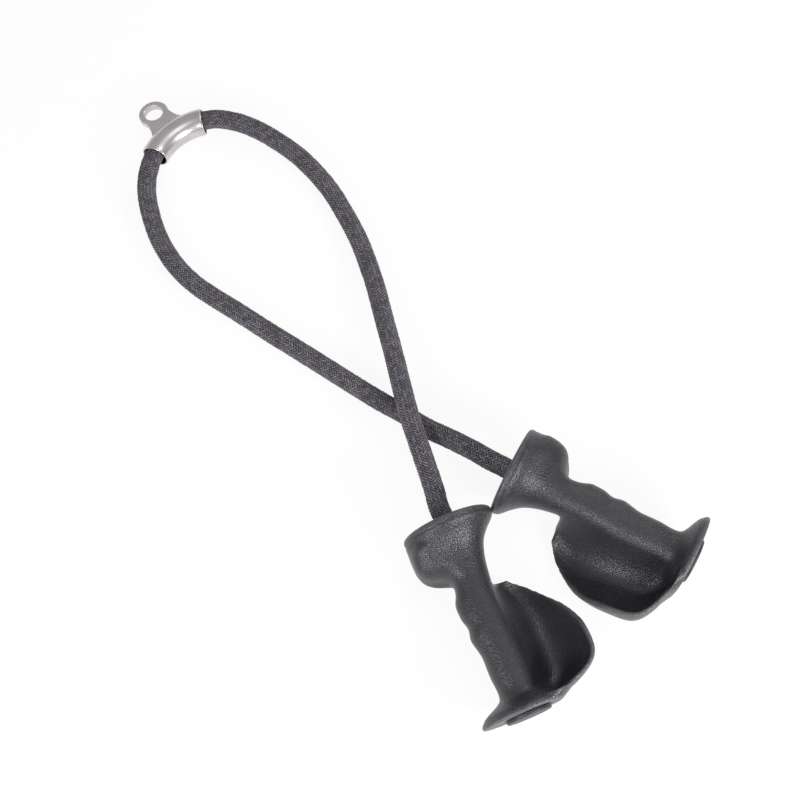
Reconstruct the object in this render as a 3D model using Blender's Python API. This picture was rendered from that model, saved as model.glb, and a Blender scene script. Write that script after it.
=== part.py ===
"""Triceps rope attachment: a braided rope bent through a cast hanger, with a moulded handle on each end.

Metres, +Z up. The object lies on the plane z = 0, and the origin is on that plane, under the middle of
the hanger and the handles. Each handle is drawn in its own frame: local Z runs along the rope's axis
from the flange to the base, local Y is up, and the palm scoop is on the +X side of handle A and on the
-X side of handle B, its mirror image.
"""
import math

import bmesh
import bpy
from mathutils import Matrix, Vector

# Gaps, cutters and shading
FIT_GAP = 0.0003
CUT_OVERRUN = 0.006
SHARP_ANGLE = math.radians(35)

# Rope
ROPE_DIAMETER = 0.016
ROPE_POINT_SPACING = 0.024
ROPE_SIDES_SHARE = 4
ROPE_HELD_HALF_ARC = math.radians(46)
HELD_ARC_STEPS = 16
ROUTE_PARTS = 12
ENTRY_STRAIGHT = 0.016
END_STUB = 0.002

# Hanger: a bent sleeve with a flat eye plate on its outer side
SLEEVE_BEND_RADIUS = 0.050
SLEEVE_OUTER_DIAMETER = 0.0225
SLEEVE_WALL = 0.0016
SLEEVE_HALF_ARC = math.radians(31.3)
SLEEVE_LIP = 0.0005
EYE_REACH = 0.031
EYE_HOLE_DIAMETER = 0.016
EYE_RING_WIDTH = 0.005
PLATE_THICKNESS = 0.006
PLATE_ROOT_WIDTH = 0.035
PLATE_WAIST_WIDTH = 0.0235
ROOT_BEAD_WIDTH = 0.0012
ROOT_BEAD_HEIGHT = 0.0006
HANGER_PLACE = (-0.0034, 0.2116)
HANGER_YAW = math.radians(2.9)
SLEEVE_FACES_AROUND = 28
SLEEVE_BENDS = 12
PLATE_FLARE_BENDS = 5

# Handle moulding
HANDLE_LENGTH = 0.1485
FLANGE_RADIUS = 0.0354
AXIS_HEIGHT = 0.0351
SCOOP_REACH = 0.0642
RIM_THICKNESS = 0.003
BOWL_END_FILLET = 0.015
BOWL_CURVE_STEPS = 14
EVENING_STEPS = 3
EVENING_SHARE = 0.03
SCOOP_ROOT = 0.002
BASE_THICKNESS = 0.006
VOXEL_SIZE = 0.0019
RING_SPACING = 0.002
SMOOTH_STEPS = 7
KEPT_FACES_SHARE = 0.09
HANDLE_FACES_AROUND = 48
TURNED_FACES = 32

# Rope end, washer, ferrule and plug inside each handle
HANDLE_BORE_DIAMETER = 0.0172
BORE_MOUTH_CHAMFER = 0.001
COUNTERBORE_DIAMETER = 0.0225
WASHER_THICKNESS = 0.002
WASHER_DIAMETER = 0.0218
FERRULE_DIAMETER = 0.0212
FERRULE_LENGTH = 0.0134
ROPE_END_GAP = 0.0008
PLUG_STEM_LENGTH = 0.004
PLUG_STEM_GAP = 0.001
PLUG_HEAD_DIAMETER = 0.0345
PLUG_HEAD_HEIGHT = 0.003
PLUG_EDGE = 0.0012
PLUG_SEAT_MARGIN = 0.0015
ROPE_IN_BORE = 0.003

# Where the handles lie: flange face centre in plan, and the direction from flange to base
HANDLE_A_PLACE = (-0.0417, -0.1540)
HANDLE_A_HEADING = math.radians(-105.62)
HANDLE_B_PLACE = (0.0227, -0.1506)
HANDLE_B_HEADING = math.radians(-65.78)

# Handle outline as shares: along the handle's length, then of the flange radius
FINGER_SIDE_SHARES = (
    (0.0, 0.955), (0.010, 0.995), (0.03, 1.0), (0.155, 1.0), (0.206, 0.95), (0.240, 0.80),
    (0.260, 0.56), (0.277, 0.43), (0.31, 0.385), (0.34, 0.405), (0.41, 0.515), (0.465, 0.51),
    (0.525, 0.45), (0.58, 0.495), (0.635, 0.45), (0.68, 0.417), (0.78, 0.43), (0.855, 0.41),
    (0.895, 0.43), (0.918, 0.55), (0.938, 0.74), (0.956, 0.88), (0.974, 0.96), (0.992, 0.99),
    (1.0, 0.975),
)
PALM_SIDE_SHARES = (
    (0.0, 0.955), (0.010, 0.995), (0.03, 1.0), (0.058, 0.92), (0.084, 0.80), (0.113, 0.69),
    (0.142, 0.60), (0.18, 0.53), (0.232, 0.465), (0.30, 0.415), (0.38, 0.38), (0.52, 0.40),
    (0.66, 0.43), (0.87, 0.40), (0.91, 0.43), (0.95, 0.66), (0.97, 0.78), (1.0, 0.78),
)
HALF_HEIGHT_SHARES = (
    (0.0, 0.955), (0.010, 0.99), (0.03, 0.99), (0.058, 0.92), (0.084, 0.81), (0.113, 0.71),
    (0.142, 0.63), (0.18, 0.56), (0.232, 0.50), (0.30, 0.445), (0.38, 0.43), (0.66, 0.43),
    (0.87, 0.43), (0.905, 0.46), (0.93, 0.56), (0.95, 0.68), (0.97, 0.78), (1.0, 0.80),
)
# How square the finger half of the section is: 2 is an ellipse
FINGER_SQUARENESS_SHARES = (
    (0.0, 2.0), (0.06, 2.0), (0.12, 3.4), (0.25, 3.4), (0.30, 2.3), (0.9, 2.1), (1.0, 2.0),
)
# How much further the lobe runs along its underside than along its top
LOBE_SLANT_SHARES = ((0.08, 0.0), (0.16, 0.042), (0.29, 0.042), (0.38, 0.0))
# Scoop outline: widest reach, as shares of the scoop's reach; heights as shares of the axis height
SCOOP_PALM_SHARES = (
    (0.333, 0.38), (0.352, 0.55), (0.39, 0.695), (0.444, 0.785), (0.505, 0.86), (0.606, 0.955),
    (0.707, 0.995), (0.808, 0.985), (0.875, 0.94), (0.91, 0.865), (0.943, 0.73), (0.976, 0.535),
    (1.0, 0.39),
)
SCOOP_WIDEST_SHARES = (
    (0.333, -0.56), (0.384, -0.62), (0.444, -0.58), (0.505, -0.48), (0.606, -0.26), (0.707, 0.02),
    (0.808, 0.13), (0.875, 0.06), (0.943, -0.18), (1.0, -0.30),
)
SCOOP_UNDERSIDE_SHARES = (
    (0.333, -0.90), (0.384, -0.96), (0.505, -0.96), (0.606, -0.93), (0.707, -0.88), (0.84, -0.86),
    (0.93, -0.84), (0.968, -0.78), (1.0, -0.66),
)
SCOOP_TOP_SHARES = ((0.333, 0.83), (0.9, 0.80), (0.96, 0.66), (1.0, 0.62))
SCOOP_SQUARENESS = 2.5
RIM_HEIGHT_SHARES = (
    (0.318, -0.60), (0.345, -0.75), (0.384, -0.84), (0.444, -0.82), (0.505, -0.69), (0.606, -0.34),
    (0.707, 0.08), (0.808, 0.24), (0.875, 0.32), (0.943, 0.44), (0.976, 0.56), (1.0, 0.62),
)
BOWL_FLOOR_SHARES = (
    (0.318, -0.56), (0.345, -0.71), (0.384, -0.81), (0.444, -0.82), (0.505, -0.76), (0.606, -0.62),
    (0.707, -0.50), (0.808, -0.46), (0.9, -0.44), (1.0, -0.40),
)
# Where the bowl leaves the column's round, and how its curve is spanned
BOWL_EDGE_ANGLE = math.radians(27)
BOWL_COLUMN_SIDE_SHARE = 0.34
BOWL_RIM_SIDE_SHARE = 0.42

# Points of the free rope, chosen by hand from the photograph, from the hanger to each handle
LEG_A_ROUTE = (
    (0.0429, 0.2356, 0.0138), (0.0521, 0.2209, 0.0120), (0.0596, 0.2027, 0.0098),
    (0.0653, 0.1818, 0.0085), (0.0675, 0.1603, 0.0082), (0.0673, 0.1367, 0.0082),
    (0.0636, 0.1117, 0.0083), (0.0597, 0.0927, 0.0088), (0.0546, 0.0750, 0.0100),
    (0.0422, 0.0424, 0.0136), (0.0280, 0.0116, 0.0178), (0.0141, -0.0188, 0.0219),
    (0.0001, -0.0480, 0.0254), (-0.0096, -0.0693, 0.0280), (-0.0184, -0.0917, 0.0312),
    (-0.0267, -0.1134, 0.0335), (-0.0328, -0.1289, 0.0347),
)
LEG_B_ROUTE = (
    (-0.0473, 0.2399, 0.0140), (-0.0571, 0.2269, 0.0128), (-0.0664, 0.2068, 0.0102),
    (-0.0728, 0.1846, 0.0087), (-0.0752, 0.1591, 0.0082), (-0.0725, 0.1357, 0.0082),
    (-0.0660, 0.1137, 0.0082), (-0.0598, 0.0957, 0.0082), (-0.0504, 0.0665, 0.0082),
    (-0.0355, 0.0225, 0.0082), (-0.0224, -0.0173, 0.0082), (-0.0140, -0.0412, 0.0083),
    (-0.0085, -0.0546, 0.0087), (-0.0016, -0.0794, 0.0142), (0.0058, -0.1031, 0.0255),
    (0.0116, -0.1219, 0.0328),
)

SLEEVE_RADIUS = SLEEVE_OUTER_DIAMETER / 2
SLEEVE_BORE_RADIUS = SLEEVE_RADIUS - SLEEVE_WALL
ROPE_RADIUS = ROPE_DIAMETER / 2
# The rope bears on the outer side of the sleeve's bore
HELD_BEND_RADIUS = SLEEVE_BEND_RADIUS + SLEEVE_BORE_RADIUS - ROPE_RADIUS - FIT_GAP
EYE_RING_RADIUS = EYE_HOLE_DIAMETER / 2 + EYE_RING_WIDTH
# The counterbore's shoulder lies where washer, ferrule and plug stem need it
SHOULDER_DEPTH = (HANDLE_LENGTH - PLUG_STEM_LENGTH - PLUG_STEM_GAP - FERRULE_LENGTH - WASHER_THICKNESS
                  - 2 * FIT_GAP)


def new_material(name, colour, roughness, metallic=0.0):
    material = bpy.data.materials.new(name)
    material.use_nodes = True
    shader = material.node_tree.nodes["Principled BSDF"]
    shader.inputs["Base Color"].default_value = (*colour, 1.0)
    shader.inputs["Roughness"].default_value = roughness
    shader.inputs["Metallic"].default_value = metallic
    material.diffuse_color = (*colour, 1.0)
    return material


def add_object(name, mesh, material, parent=None, matrix=None):
    """Put a mesh in the scene under its node's name."""
    thing = bpy.data.objects.new(name, mesh)
    bpy.context.scene.collection.objects.link(thing)
    if material:
        mesh.materials.append(material)
    if matrix is not None:
        thing.matrix_world = matrix
    if parent is not None:
        thing.parent = parent
    return thing


def mark_as_cutter(thing):
    thing.hide_render = True
    thing.display_type = "WIRE"


def add_boolean(thing, other, operation):
    modifier = thing.modifiers.new(operation.title(), "BOOLEAN")
    modifier.operation = operation
    modifier.solver = "EXACT"
    modifier.object = other


def finish_mesh(name, bm):
    bmesh.ops.recalc_face_normals(bm, faces=bm.faces)
    mesh = bpy.data.meshes.new(name)
    bm.to_mesh(mesh)
    bm.free()
    mesh.shade_smooth()
    mesh.set_sharp_from_angle(angle=SHARP_ANGLE)
    return mesh


def follow(shares, place):
    """Read a smooth curve through a table of (place, value) shares."""
    if place <= shares[0][0]:
        return shares[0][1]
    if place >= shares[-1][0]:
        return shares[-1][1]
    last = len(shares) - 1
    index = next(i for i in range(last) if place <= shares[i + 1][0])

    def slope(i):
        if i == 0 or i == last:
            return 0.0
        before = (shares[i][1] - shares[i - 1][1]) / (shares[i][0] - shares[i - 1][0])
        after = (shares[i + 1][1] - shares[i][1]) / (shares[i + 1][0] - shares[i][0])
        if before * after <= 0:
            return 0.0
        return 2 * before * after / (before + after)

    (x0, y0), (x1, y1) = shares[index][:2], shares[index + 1][:2]
    width = x1 - x0
    t = (place - x0) / width
    ease = t * t * (3 - 2 * t)
    return (y0 * (1 - ease) + y1 * ease + width * slope(index) * t * (1 - t) ** 2
            - width * slope(index + 1) * t * t * (1 - t))


def power(value, exponent):
    return math.copysign(abs(value) ** exponent, value)


def loft(name, rings):
    """Skin rings of equal length and close both ends."""
    bm = bmesh.new()
    loops = [[bm.verts.new(point) for point in ring] for ring in rings]
    count = len(loops[0])
    for lower, upper in zip(loops, loops[1:]):
        for i in range(count):
            j = (i + 1) % count
            bm.faces.new((lower[i], lower[j], upper[j], upper[i]))
    bm.faces.new(loops[0])
    bm.faces.new(loops[-1])
    return finish_mesh(name, bm)


def turned(name, profile):
    """Spin a closed profile of (radius, depth) points about local Z; a zero radius closes on the axis."""
    bm = bmesh.new()
    points = [bm.verts.new((radius, 0.0, depth)) for radius, depth in profile]
    edges = [bm.edges.new((a, b)) for a, b in zip(points, points[1:])]
    if profile[0][0] > 0:
        edges.append(bm.edges.new((points[-1], points[0])))
    bmesh.ops.spin(bm, geom=points + edges, cent=(0, 0, 0), axis=(0, 0, 1), angle=math.tau,
                   steps=TURNED_FACES, use_merge=True)
    bmesh.ops.remove_doubles(bm, verts=bm.verts, dist=FIT_GAP / TURNED_FACES)
    return finish_mesh(name, bm)


def places_along(start, end, spacing):
    count = max(2, round((end - start) / spacing))
    return [start + (end - start) * i / count for i in range(count + 1)]


def spool_section(place, side):
    """Section of the flange, lobe, column and base plate at one share of the length."""
    palm = follow(PALM_SIDE_SHARES, place) * FLANGE_RADIUS
    half_height = follow(HALF_HEIGHT_SHARES, place) * FLANGE_RADIUS
    squareness = follow(FINGER_SQUARENESS_SHARES, place)
    slant = follow(LOBE_SLANT_SHARES, place)
    ring = []
    for i in range(HANDLE_FACES_AROUND):
        angle = math.tau * i / HANDLE_FACES_AROUND
        across, up = math.cos(angle), math.sin(angle)
        if across > 0:
            reach, exponent = palm, 1.0
        else:
            reach = follow(FINGER_SIDE_SHARES, place + slant * up) * FLANGE_RADIUS
            exponent = 2 / squareness
        ring.append((side * reach * power(across, exponent), half_height * power(up, exponent),
                     place * HANDLE_LENGTH))
    return ring


def follow_evenly(shares, place):
    """Average a table over a short stretch, for an outline without bumps."""
    steps = range(-EVENING_STEPS, EVENING_STEPS + 1)
    return sum(follow(shares, place + EVENING_SHARE * i / EVENING_STEPS) for i in steps) / len(steps)


def scoop_reach(place):
    return follow_evenly(SCOOP_PALM_SHARES, place) * SCOOP_REACH


def scoop_span(place, above):
    """Height of the scoop's widest line, and from there to its top or its underside."""
    widest = follow_evenly(SCOOP_WIDEST_SHARES, place) * AXIS_HEIGHT
    table = SCOOP_TOP_SHARES if above else SCOOP_UNDERSIDE_SHARES
    return widest, abs(follow_evenly(table, place) * AXIS_HEIGHT - widest)


def scoop_section(place, side):
    """Section of the scoop's outer skin, closed over the top."""
    reach = scoop_reach(place)
    ring = []
    for i in range(HANDLE_FACES_AROUND):
        angle = math.tau * i / HANDLE_FACES_AROUND
        across = power(math.cos(angle), 2 / SCOOP_SQUARENESS)
        up = power(math.sin(angle), 2 / SCOOP_SQUARENESS)
        widest, span = scoop_span(place, up > 0)
        ring.append((side * ((reach + SCOOP_ROOT) / 2 + (reach - SCOOP_ROOT) / 2 * across),
                     widest + span * up, place * HANDLE_LENGTH))
    return ring


def rim_point(place):
    """Inner edge of the scoop's rim: across and up."""
    up = follow_evenly(RIM_HEIGHT_SHARES, place) * AXIS_HEIGHT
    widest, span = scoop_span(place, up > follow_evenly(SCOOP_WIDEST_SHARES, place) * AXIS_HEIGHT)
    rise = min(1.0, abs(up - widest) / span)
    swell = (1 - rise ** SCOOP_SQUARENESS) ** (1 / SCOOP_SQUARENESS)
    reach = scoop_reach(place)
    return (reach + SCOOP_ROOT) / 2 + (reach - SCOOP_ROOT) / 2 * swell - RIM_THICKNESS, up


def bowl_rings(side):
    """Cutter above the bowl: a curve from the column down to the bowl's floor and up to the rim."""
    far = SCOOP_REACH * 2
    start, end = RIM_HEIGHT_SHARES[0][0] * HANDLE_LENGTH, HANDLE_LENGTH - BASE_THICKNESS
    rings = []
    for depth in places_along(start, end, RING_SPACING):
        place = depth / HANDLE_LENGTH
        into_fillet = max(0.0, depth - (end - BOWL_END_FILLET)) / BOWL_END_FILLET
        closing = BOWL_END_FILLET * (1 - math.sqrt(max(0.0, 1 - into_fillet ** 2)))
        edge = follow(PALM_SIDE_SHARES, place) * FLANGE_RADIUS * math.cos(BOWL_EDGE_ANGLE)
        edge_up = follow(HALF_HEIGHT_SHARES, place) * FLANGE_RADIUS * math.sin(BOWL_EDGE_ANGLE)
        rim_across, rim_up = rim_point(place)
        rim_across = max(rim_across - closing / 2, edge + RIM_THICKNESS)
        floor = follow_evenly(BOWL_FLOOR_SHARES, place) * AXIS_HEIGHT + closing
        low = (8 * floor - edge_up - rim_up) / 6
        width = rim_across - edge
        near, far_side = edge + BOWL_COLUMN_SIDE_SHARE * width, rim_across - BOWL_RIM_SIDE_SHARE * width
        ring = [(-edge, edge_up)]
        for i in range(BOWL_CURVE_STEPS + 1):
            t = i / BOWL_CURVE_STEPS
            a, b, c, d = (1 - t) ** 3, 3 * t * (1 - t) ** 2, 3 * t * t * (1 - t), t ** 3
            ring.append((a * edge + b * near + c * far_side + d * rim_across,
                         a * edge_up + (b + c) * low + d * rim_up))
        ring += [(far, rim_up), (far, far), (-edge, far)]
        rings.append([(side * x, y, depth) for x, y in ring])
    return rings


def bore_cutter_profile():
    """Rope bore, counterbore for washer, ferrule and stem, and the plug head's flat seat."""
    bore = HANDLE_BORE_DIAMETER / 2
    counterbore = COUNTERBORE_DIAMETER / 2
    seat = PLUG_HEAD_DIAMETER / 2 + PLUG_SEAT_MARGIN
    return ((0, -CUT_OVERRUN), (bore + BORE_MOUTH_CHAMFER + CUT_OVERRUN, -CUT_OVERRUN),
            (bore, BORE_MOUTH_CHAMFER), (bore, SHOULDER_DEPTH), (counterbore, SHOULDER_DEPTH),
            (counterbore, HANDLE_LENGTH - FIT_GAP), (seat, HANDLE_LENGTH - FIT_GAP),
            (seat, HANDLE_LENGTH + CUT_OVERRUN), (0, HANDLE_LENGTH + CUT_OVERRUN))


def make_handle(letter, side, frame, rubber):
    """One rubber moulding: spool and scoop fused, rounded over, then bored."""
    first = SCOOP_PALM_SHARES[0][0]
    scoop_places = places_along(first, 1.0, RING_SPACING / HANDLE_LENGTH)
    scoop = add_object(f"scoop_{letter}_shape", loft("scoop", [
        scoop_section(place, side) for place in scoop_places]), None, frame)
    bowl = add_object(f"scoop_{letter}_bowl", loft("bowl", bowl_rings(side)), None, frame)
    bore = add_object(f"bore_{letter}_cutter", turned("bore", bore_cutter_profile()), None, frame)
    for guide in (scoop, bowl, bore):
        mark_as_cutter(guide)
    add_boolean(scoop, bowl, "DIFFERENCE")

    spool_places = places_along(0.0, 1.0, RING_SPACING / HANDLE_LENGTH)
    handle = add_object(f"handle_{letter}", loft("handle", [
        spool_section(place, side) for place in spool_places]), rubber, frame)
    add_boolean(handle, scoop, "UNION")
    remesh = handle.modifiers.new("Remesh", "REMESH")
    remesh.mode = "VOXEL"
    remesh.voxel_size = VOXEL_SIZE
    remesh.use_smooth_shade = True
    smooth = handle.modifiers.new("Smooth", "SMOOTH")
    smooth.iterations = SMOOTH_STEPS
    decimate = handle.modifiers.new("Decimate", "DECIMATE")
    decimate.ratio = KEPT_FACES_SHARE
    add_boolean(handle, bore, "DIFFERENCE")


def make_rope_end(letter, frame, braid, steel):
    """What the handle hides: rope end, thrust washer and ferrule."""
    washer_start = SHOULDER_DEPTH + FIT_GAP
    ferrule_start = washer_start + WASHER_THICKNESS + FIT_GAP
    ferrule_end = ferrule_start + FERRULE_LENGTH
    held = ROPE_RADIUS + FIT_GAP
    rope_start = ROPE_IN_BORE + FIT_GAP
    rope_end = ferrule_end - ROPE_END_GAP
    add_object(f"rope_end_{letter}", turned("rope_end", (
        (0, rope_start), (ROPE_RADIUS, rope_start), (ROPE_RADIUS, rope_end), (0, rope_end))), braid, frame)
    add_object(f"thrust_washer_{letter}", turned("washer", (
        (held, washer_start), (WASHER_DIAMETER / 2, washer_start),
        (WASHER_DIAMETER / 2, washer_start + WASHER_THICKNESS),
        (held, washer_start + WASHER_THICKNESS))), steel, frame)
    ferrule_radius = FERRULE_DIAMETER / 2
    add_object(f"ferrule_{letter}", turned("ferrule", (
        (held, ferrule_start), (ferrule_radius - PLUG_EDGE / 2, ferrule_start),
        (ferrule_radius, ferrule_start + PLUG_EDGE / 2), (ferrule_radius, ferrule_end - PLUG_EDGE / 2),
        (ferrule_radius - PLUG_EDGE / 2, ferrule_end), (held, ferrule_end))), steel, frame)


def make_end_plug(letter, frame, rubber):
    """Round cap that closes the counterbore and stands proud of the base plate."""
    stem = COUNTERBORE_DIAMETER / 2 - FIT_GAP
    head = PLUG_HEAD_DIAMETER / 2
    face = HANDLE_LENGTH + PLUG_HEAD_HEIGHT
    add_object(f"end_plug_{letter}", turned("end_plug", (
        (0, HANDLE_LENGTH - PLUG_STEM_LENGTH), (stem, HANDLE_LENGTH - PLUG_STEM_LENGTH),
        (stem, HANDLE_LENGTH), (head, HANDLE_LENGTH), (head, face - PLUG_EDGE),
        (head - PLUG_EDGE, face), (0, face))), rubber, frame)


def handle_frame(letter, place, heading):
    """Empty on the rope's axis at the flange face: local Z along the axis, local Y up."""
    along = Vector((math.cos(heading), math.sin(heading), 0))
    up = Vector((0, 0, 1))
    across = up.cross(along)
    turn = Matrix((across, up, along)).transposed().to_4x4()
    empty = bpy.data.objects.new(f"handle_{letter}_axis", None)
    bpy.context.scene.collection.objects.link(empty)
    empty.matrix_world = Matrix.Translation((*place, AXIS_HEIGHT)) @ turn
    return empty


def hanger_tip():
    """How far the hanger tips so that its eye lies on the floor beside the sleeve."""
    reach = EYE_REACH + EYE_RING_RADIUS
    half_plate = PLATE_THICKNESS / 2
    return math.asin(SLEEVE_RADIUS / math.hypot(reach, half_plate)) - math.atan2(half_plate, reach)


def hanger_frame():
    """Empty at the centre of the sleeve's bend: local Y points at the eye, local Z along the hinge axis."""
    tip = hanger_tip()
    height = SLEEVE_RADIUS + SLEEVE_BEND_RADIUS * math.sin(tip)
    turn = Matrix.Rotation(HANGER_YAW, 4, "Z") @ Matrix.Rotation(-tip, 4, "X")
    empty = bpy.data.objects.new("hanger_axis", None)
    bpy.context.scene.collection.objects.link(empty)
    empty.matrix_world = Matrix.Translation((*HANGER_PLACE, height)) @ turn
    return empty


def bent_tube(name, radius, half_arc, lip=0.0):
    """Solid bar along the sleeve's bend, mirrored about local Y, with chamfered ends."""
    rings = []
    lip_angle = lip / SLEEVE_BEND_RADIUS
    stations = [(-half_arc, radius - lip)] if lip else []
    span = half_arc - lip_angle
    stations += [(span * (2 * i / SLEEVE_BENDS - 1), radius) for i in range(SLEEVE_BENDS + 1)]
    stations += [(half_arc, radius - lip)] if lip else []
    for angle, ring_radius in stations:
        ring = []
        for i in range(SLEEVE_FACES_AROUND):
            turn = math.tau * (i + 1 / 2) / SLEEVE_FACES_AROUND
            reach = SLEEVE_BEND_RADIUS + ring_radius * math.cos(turn)
            ring.append((reach * math.sin(angle), reach * math.cos(angle), ring_radius * math.sin(turn)))
        rings.append(ring)
    return loft(name, rings)


def plate_outline():
    """Eye plate seen along the hinge axis: round eye, waist and flared root, for local X above zero."""
    eye = SLEEVE_BEND_RADIUS + EYE_REACH
    half_root, half_waist = PLATE_ROOT_WIDTH / 2, PLATE_WAIST_WIDTH / 2
    leave = math.asin(half_waist / EYE_RING_RADIUS)
    points = []
    for i in range(SLEEVE_BENDS + 1):
        angle = (math.pi - leave) * i / SLEEVE_BENDS
        points.append((EYE_RING_RADIUS * math.sin(angle), eye + EYE_RING_RADIUS * math.cos(angle)))
    waist_y = points[-1][1]
    root_y = SLEEVE_BEND_RADIUS + SLEEVE_RADIUS * math.cos(math.asin(half_root / SLEEVE_BEND_RADIUS)) / 2
    for i in range(1, PLATE_FLARE_BENDS + 1):
        t = i / PLATE_FLARE_BENDS
        across = half_waist + (half_root - half_waist) * t ** 2
        points.append((across, waist_y + (root_y - waist_y) * t))
    return points


def eye_plate(name):
    half = plate_outline()
    outline = half + [(-x, y) for x, y in reversed(half) if x > 0]
    bm = bmesh.new()
    face = bm.faces.new([bm.verts.new((x, y, -PLATE_THICKNESS / 2)) for x, y in outline])
    grown = bmesh.ops.extrude_face_region(bm, geom=[face])
    bmesh.ops.translate(bm, vec=(0, 0, PLATE_THICKNESS),
                        verts=[v for v in grown["geom"] if isinstance(v, bmesh.types.BMVert)])
    return finish_mesh(name, bm)


def root_bead(name):
    """Thin raised line where the plate meets the sleeve, on both faces of the plate."""
    reach = SLEEVE_BEND_RADIUS + SLEEVE_RADIUS + ROOT_BEAD_WIDTH
    half_height = PLATE_THICKNESS / 2 + ROOT_BEAD_HEIGHT
    half_arc = math.asin(PLATE_WAIST_WIDTH / 2 / reach)
    rings = []
    for i in range(SLEEVE_BENDS + 1):
        angle = half_arc * (2 * i / SLEEVE_BENDS - 1)
        ring = []
        for out, up in ((0, -1), (1, -1), (1, 1), (0, 1)):
            radius = reach + out * ROOT_BEAD_WIDTH
            ring.append((radius * math.sin(angle), radius * math.cos(angle), up * half_height))
        rings.append(ring)
    return loft(name, rings)


def make_hanger(frame, steel):
    """Cast hanger: sleeve and eye plate in one piece, bored for the rope and drilled at the eye."""
    plate = add_object("eye_plate_shape", eye_plate("plate"), None, frame)
    bead = add_object("root_bead_shape", root_bead("bead"), None, frame)
    bore = add_object("sleeve_bore_cutter", bent_tube(
        "sleeve_bore", SLEEVE_BORE_RADIUS, SLEEVE_HALF_ARC + CUT_OVERRUN / SLEEVE_BEND_RADIUS), None, frame)
    hole_radius, depth = EYE_HOLE_DIAMETER / 2, PLATE_THICKNESS
    hole = add_object("eye_hole_cutter", turned("eye_hole", (
        (0, -depth), (hole_radius, -depth), (hole_radius, depth), (0, depth))), None, frame)
    hole.location = (0, SLEEVE_BEND_RADIUS + EYE_REACH, 0)
    for guide in (plate, bead, bore, hole):
        mark_as_cutter(guide)
    hanger = add_object("hanger", bent_tube("hanger", SLEEVE_RADIUS, SLEEVE_HALF_ARC, lip=SLEEVE_LIP),
                        steel, frame)
    add_boolean(hanger, plate, "UNION")
    add_boolean(hanger, bead, "UNION")
    add_boolean(hanger, bore, "DIFFERENCE")
    add_boolean(hanger, hole, "DIFFERENCE")


def rope_tube(name, points, braid):
    """A stretch of rope as a curve with a round bevel and closed ends."""
    curve = bpy.data.curves.new(name, "CURVE")
    curve.dimensions = "3D"
    curve.bevel_depth = ROPE_RADIUS
    curve.bevel_resolution = ROPE_SIDES_SHARE
    curve.use_fill_caps = True
    spline = curve.splines.new("POLY")
    spline.points.add(len(points) - 1)
    for spot, point in zip(spline.points, points):
        spot.co = (*point, 1.0)
    return add_object(name, curve, braid)


def held_arc_point(frame, angle):
    local = Vector((HELD_BEND_RADIUS * math.sin(angle), HELD_BEND_RADIUS * math.cos(angle), 0))
    return frame.matrix_world @ local


def smooth_through(points, spacing):
    """Points at even steps along a centripetal curve through the route, from its second point to its last
    but one."""
    dense = []
    for i in range(1, len(points) - 2):
        p0, p1, p2, p3 = points[i - 1:i + 3]
        t1 = (p1 - p0).length ** 0.5
        t2 = t1 + (p2 - p1).length ** 0.5
        t3 = t2 + (p3 - p2).length ** 0.5
        for k in range(ROUTE_PARTS):
            t = t1 + (t2 - t1) * k / ROUTE_PARTS
            a1 = p0.lerp(p1, t / t1)
            a2 = p1.lerp(p2, (t - t1) / (t2 - t1))
            a3 = p2.lerp(p3, (t - t2) / (t3 - t2))
            b1 = a1.lerp(a2, t / t2)
            b2 = a2.lerp(a3, (t - t1) / (t3 - t1))
            dense.append(b1.lerp(b2, (t - t1) / (t2 - t1)))
    dense.append(points[-2])
    lengths = [0.0]
    for a, b in zip(dense, dense[1:]):
        lengths.append(lengths[-1] + (b - a).length)
    count = max(2, round(lengths[-1] / spacing))
    picked = []
    for i in range(count + 1):
        wanted = lengths[-1] * i / count
        k = max(j for j in range(len(lengths)) if lengths[j] <= wanted)
        if k == len(dense) - 1:
            picked.append(dense[-1])
        else:
            picked.append(dense[k].lerp(dense[k + 1], (wanted - lengths[k]) / (lengths[k + 1] - lengths[k])))
    return picked


def leg_points(hanger, handle, route, turn):
    """Free rope from the held arc to just inside the handle's bore; turn is +1 or -1 along the arc."""
    end = ROPE_HELD_HALF_ARC + FIT_GAP / HELD_BEND_RADIUS
    start = [held_arc_point(hanger, turn * angle)
             for angle in (end - ROPE_HELD_HALF_ARC / HELD_ARC_STEPS, end)]
    stub = start[1] + (start[1] - start[0]).normalized() * END_STUB
    axis = handle.matrix_world
    entry = axis @ Vector((0, 0, -ENTRY_STRAIGHT))
    inside = axis @ Vector((0, 0, ROPE_IN_BORE))
    free = smooth_through(start + [Vector(point) for point in route] + [entry, inside], ROPE_POINT_SPACING)
    return [free[0], stub] + free[1:] + [inside]


def make_ropes(hanger, handles, braid):
    stub_angle = END_STUB / HELD_BEND_RADIUS
    inner = ROPE_HELD_HALF_ARC - stub_angle
    angles = [-ROPE_HELD_HALF_ARC]
    angles += [inner * (2 * i / HELD_ARC_STEPS - 1) for i in range(HELD_ARC_STEPS + 1)]
    angles.append(ROPE_HELD_HALF_ARC)
    arc = [held_arc_point(hanger, angle) for angle in angles]
    rope_tube("rope_in_sleeve", arc, braid)
    rope_tube("rope_leg_a", leg_points(hanger, handles[0], LEG_A_ROUTE, 1), braid)
    rope_tube("rope_leg_b", leg_points(hanger, handles[1], LEG_B_ROUTE, -1), braid)


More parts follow.
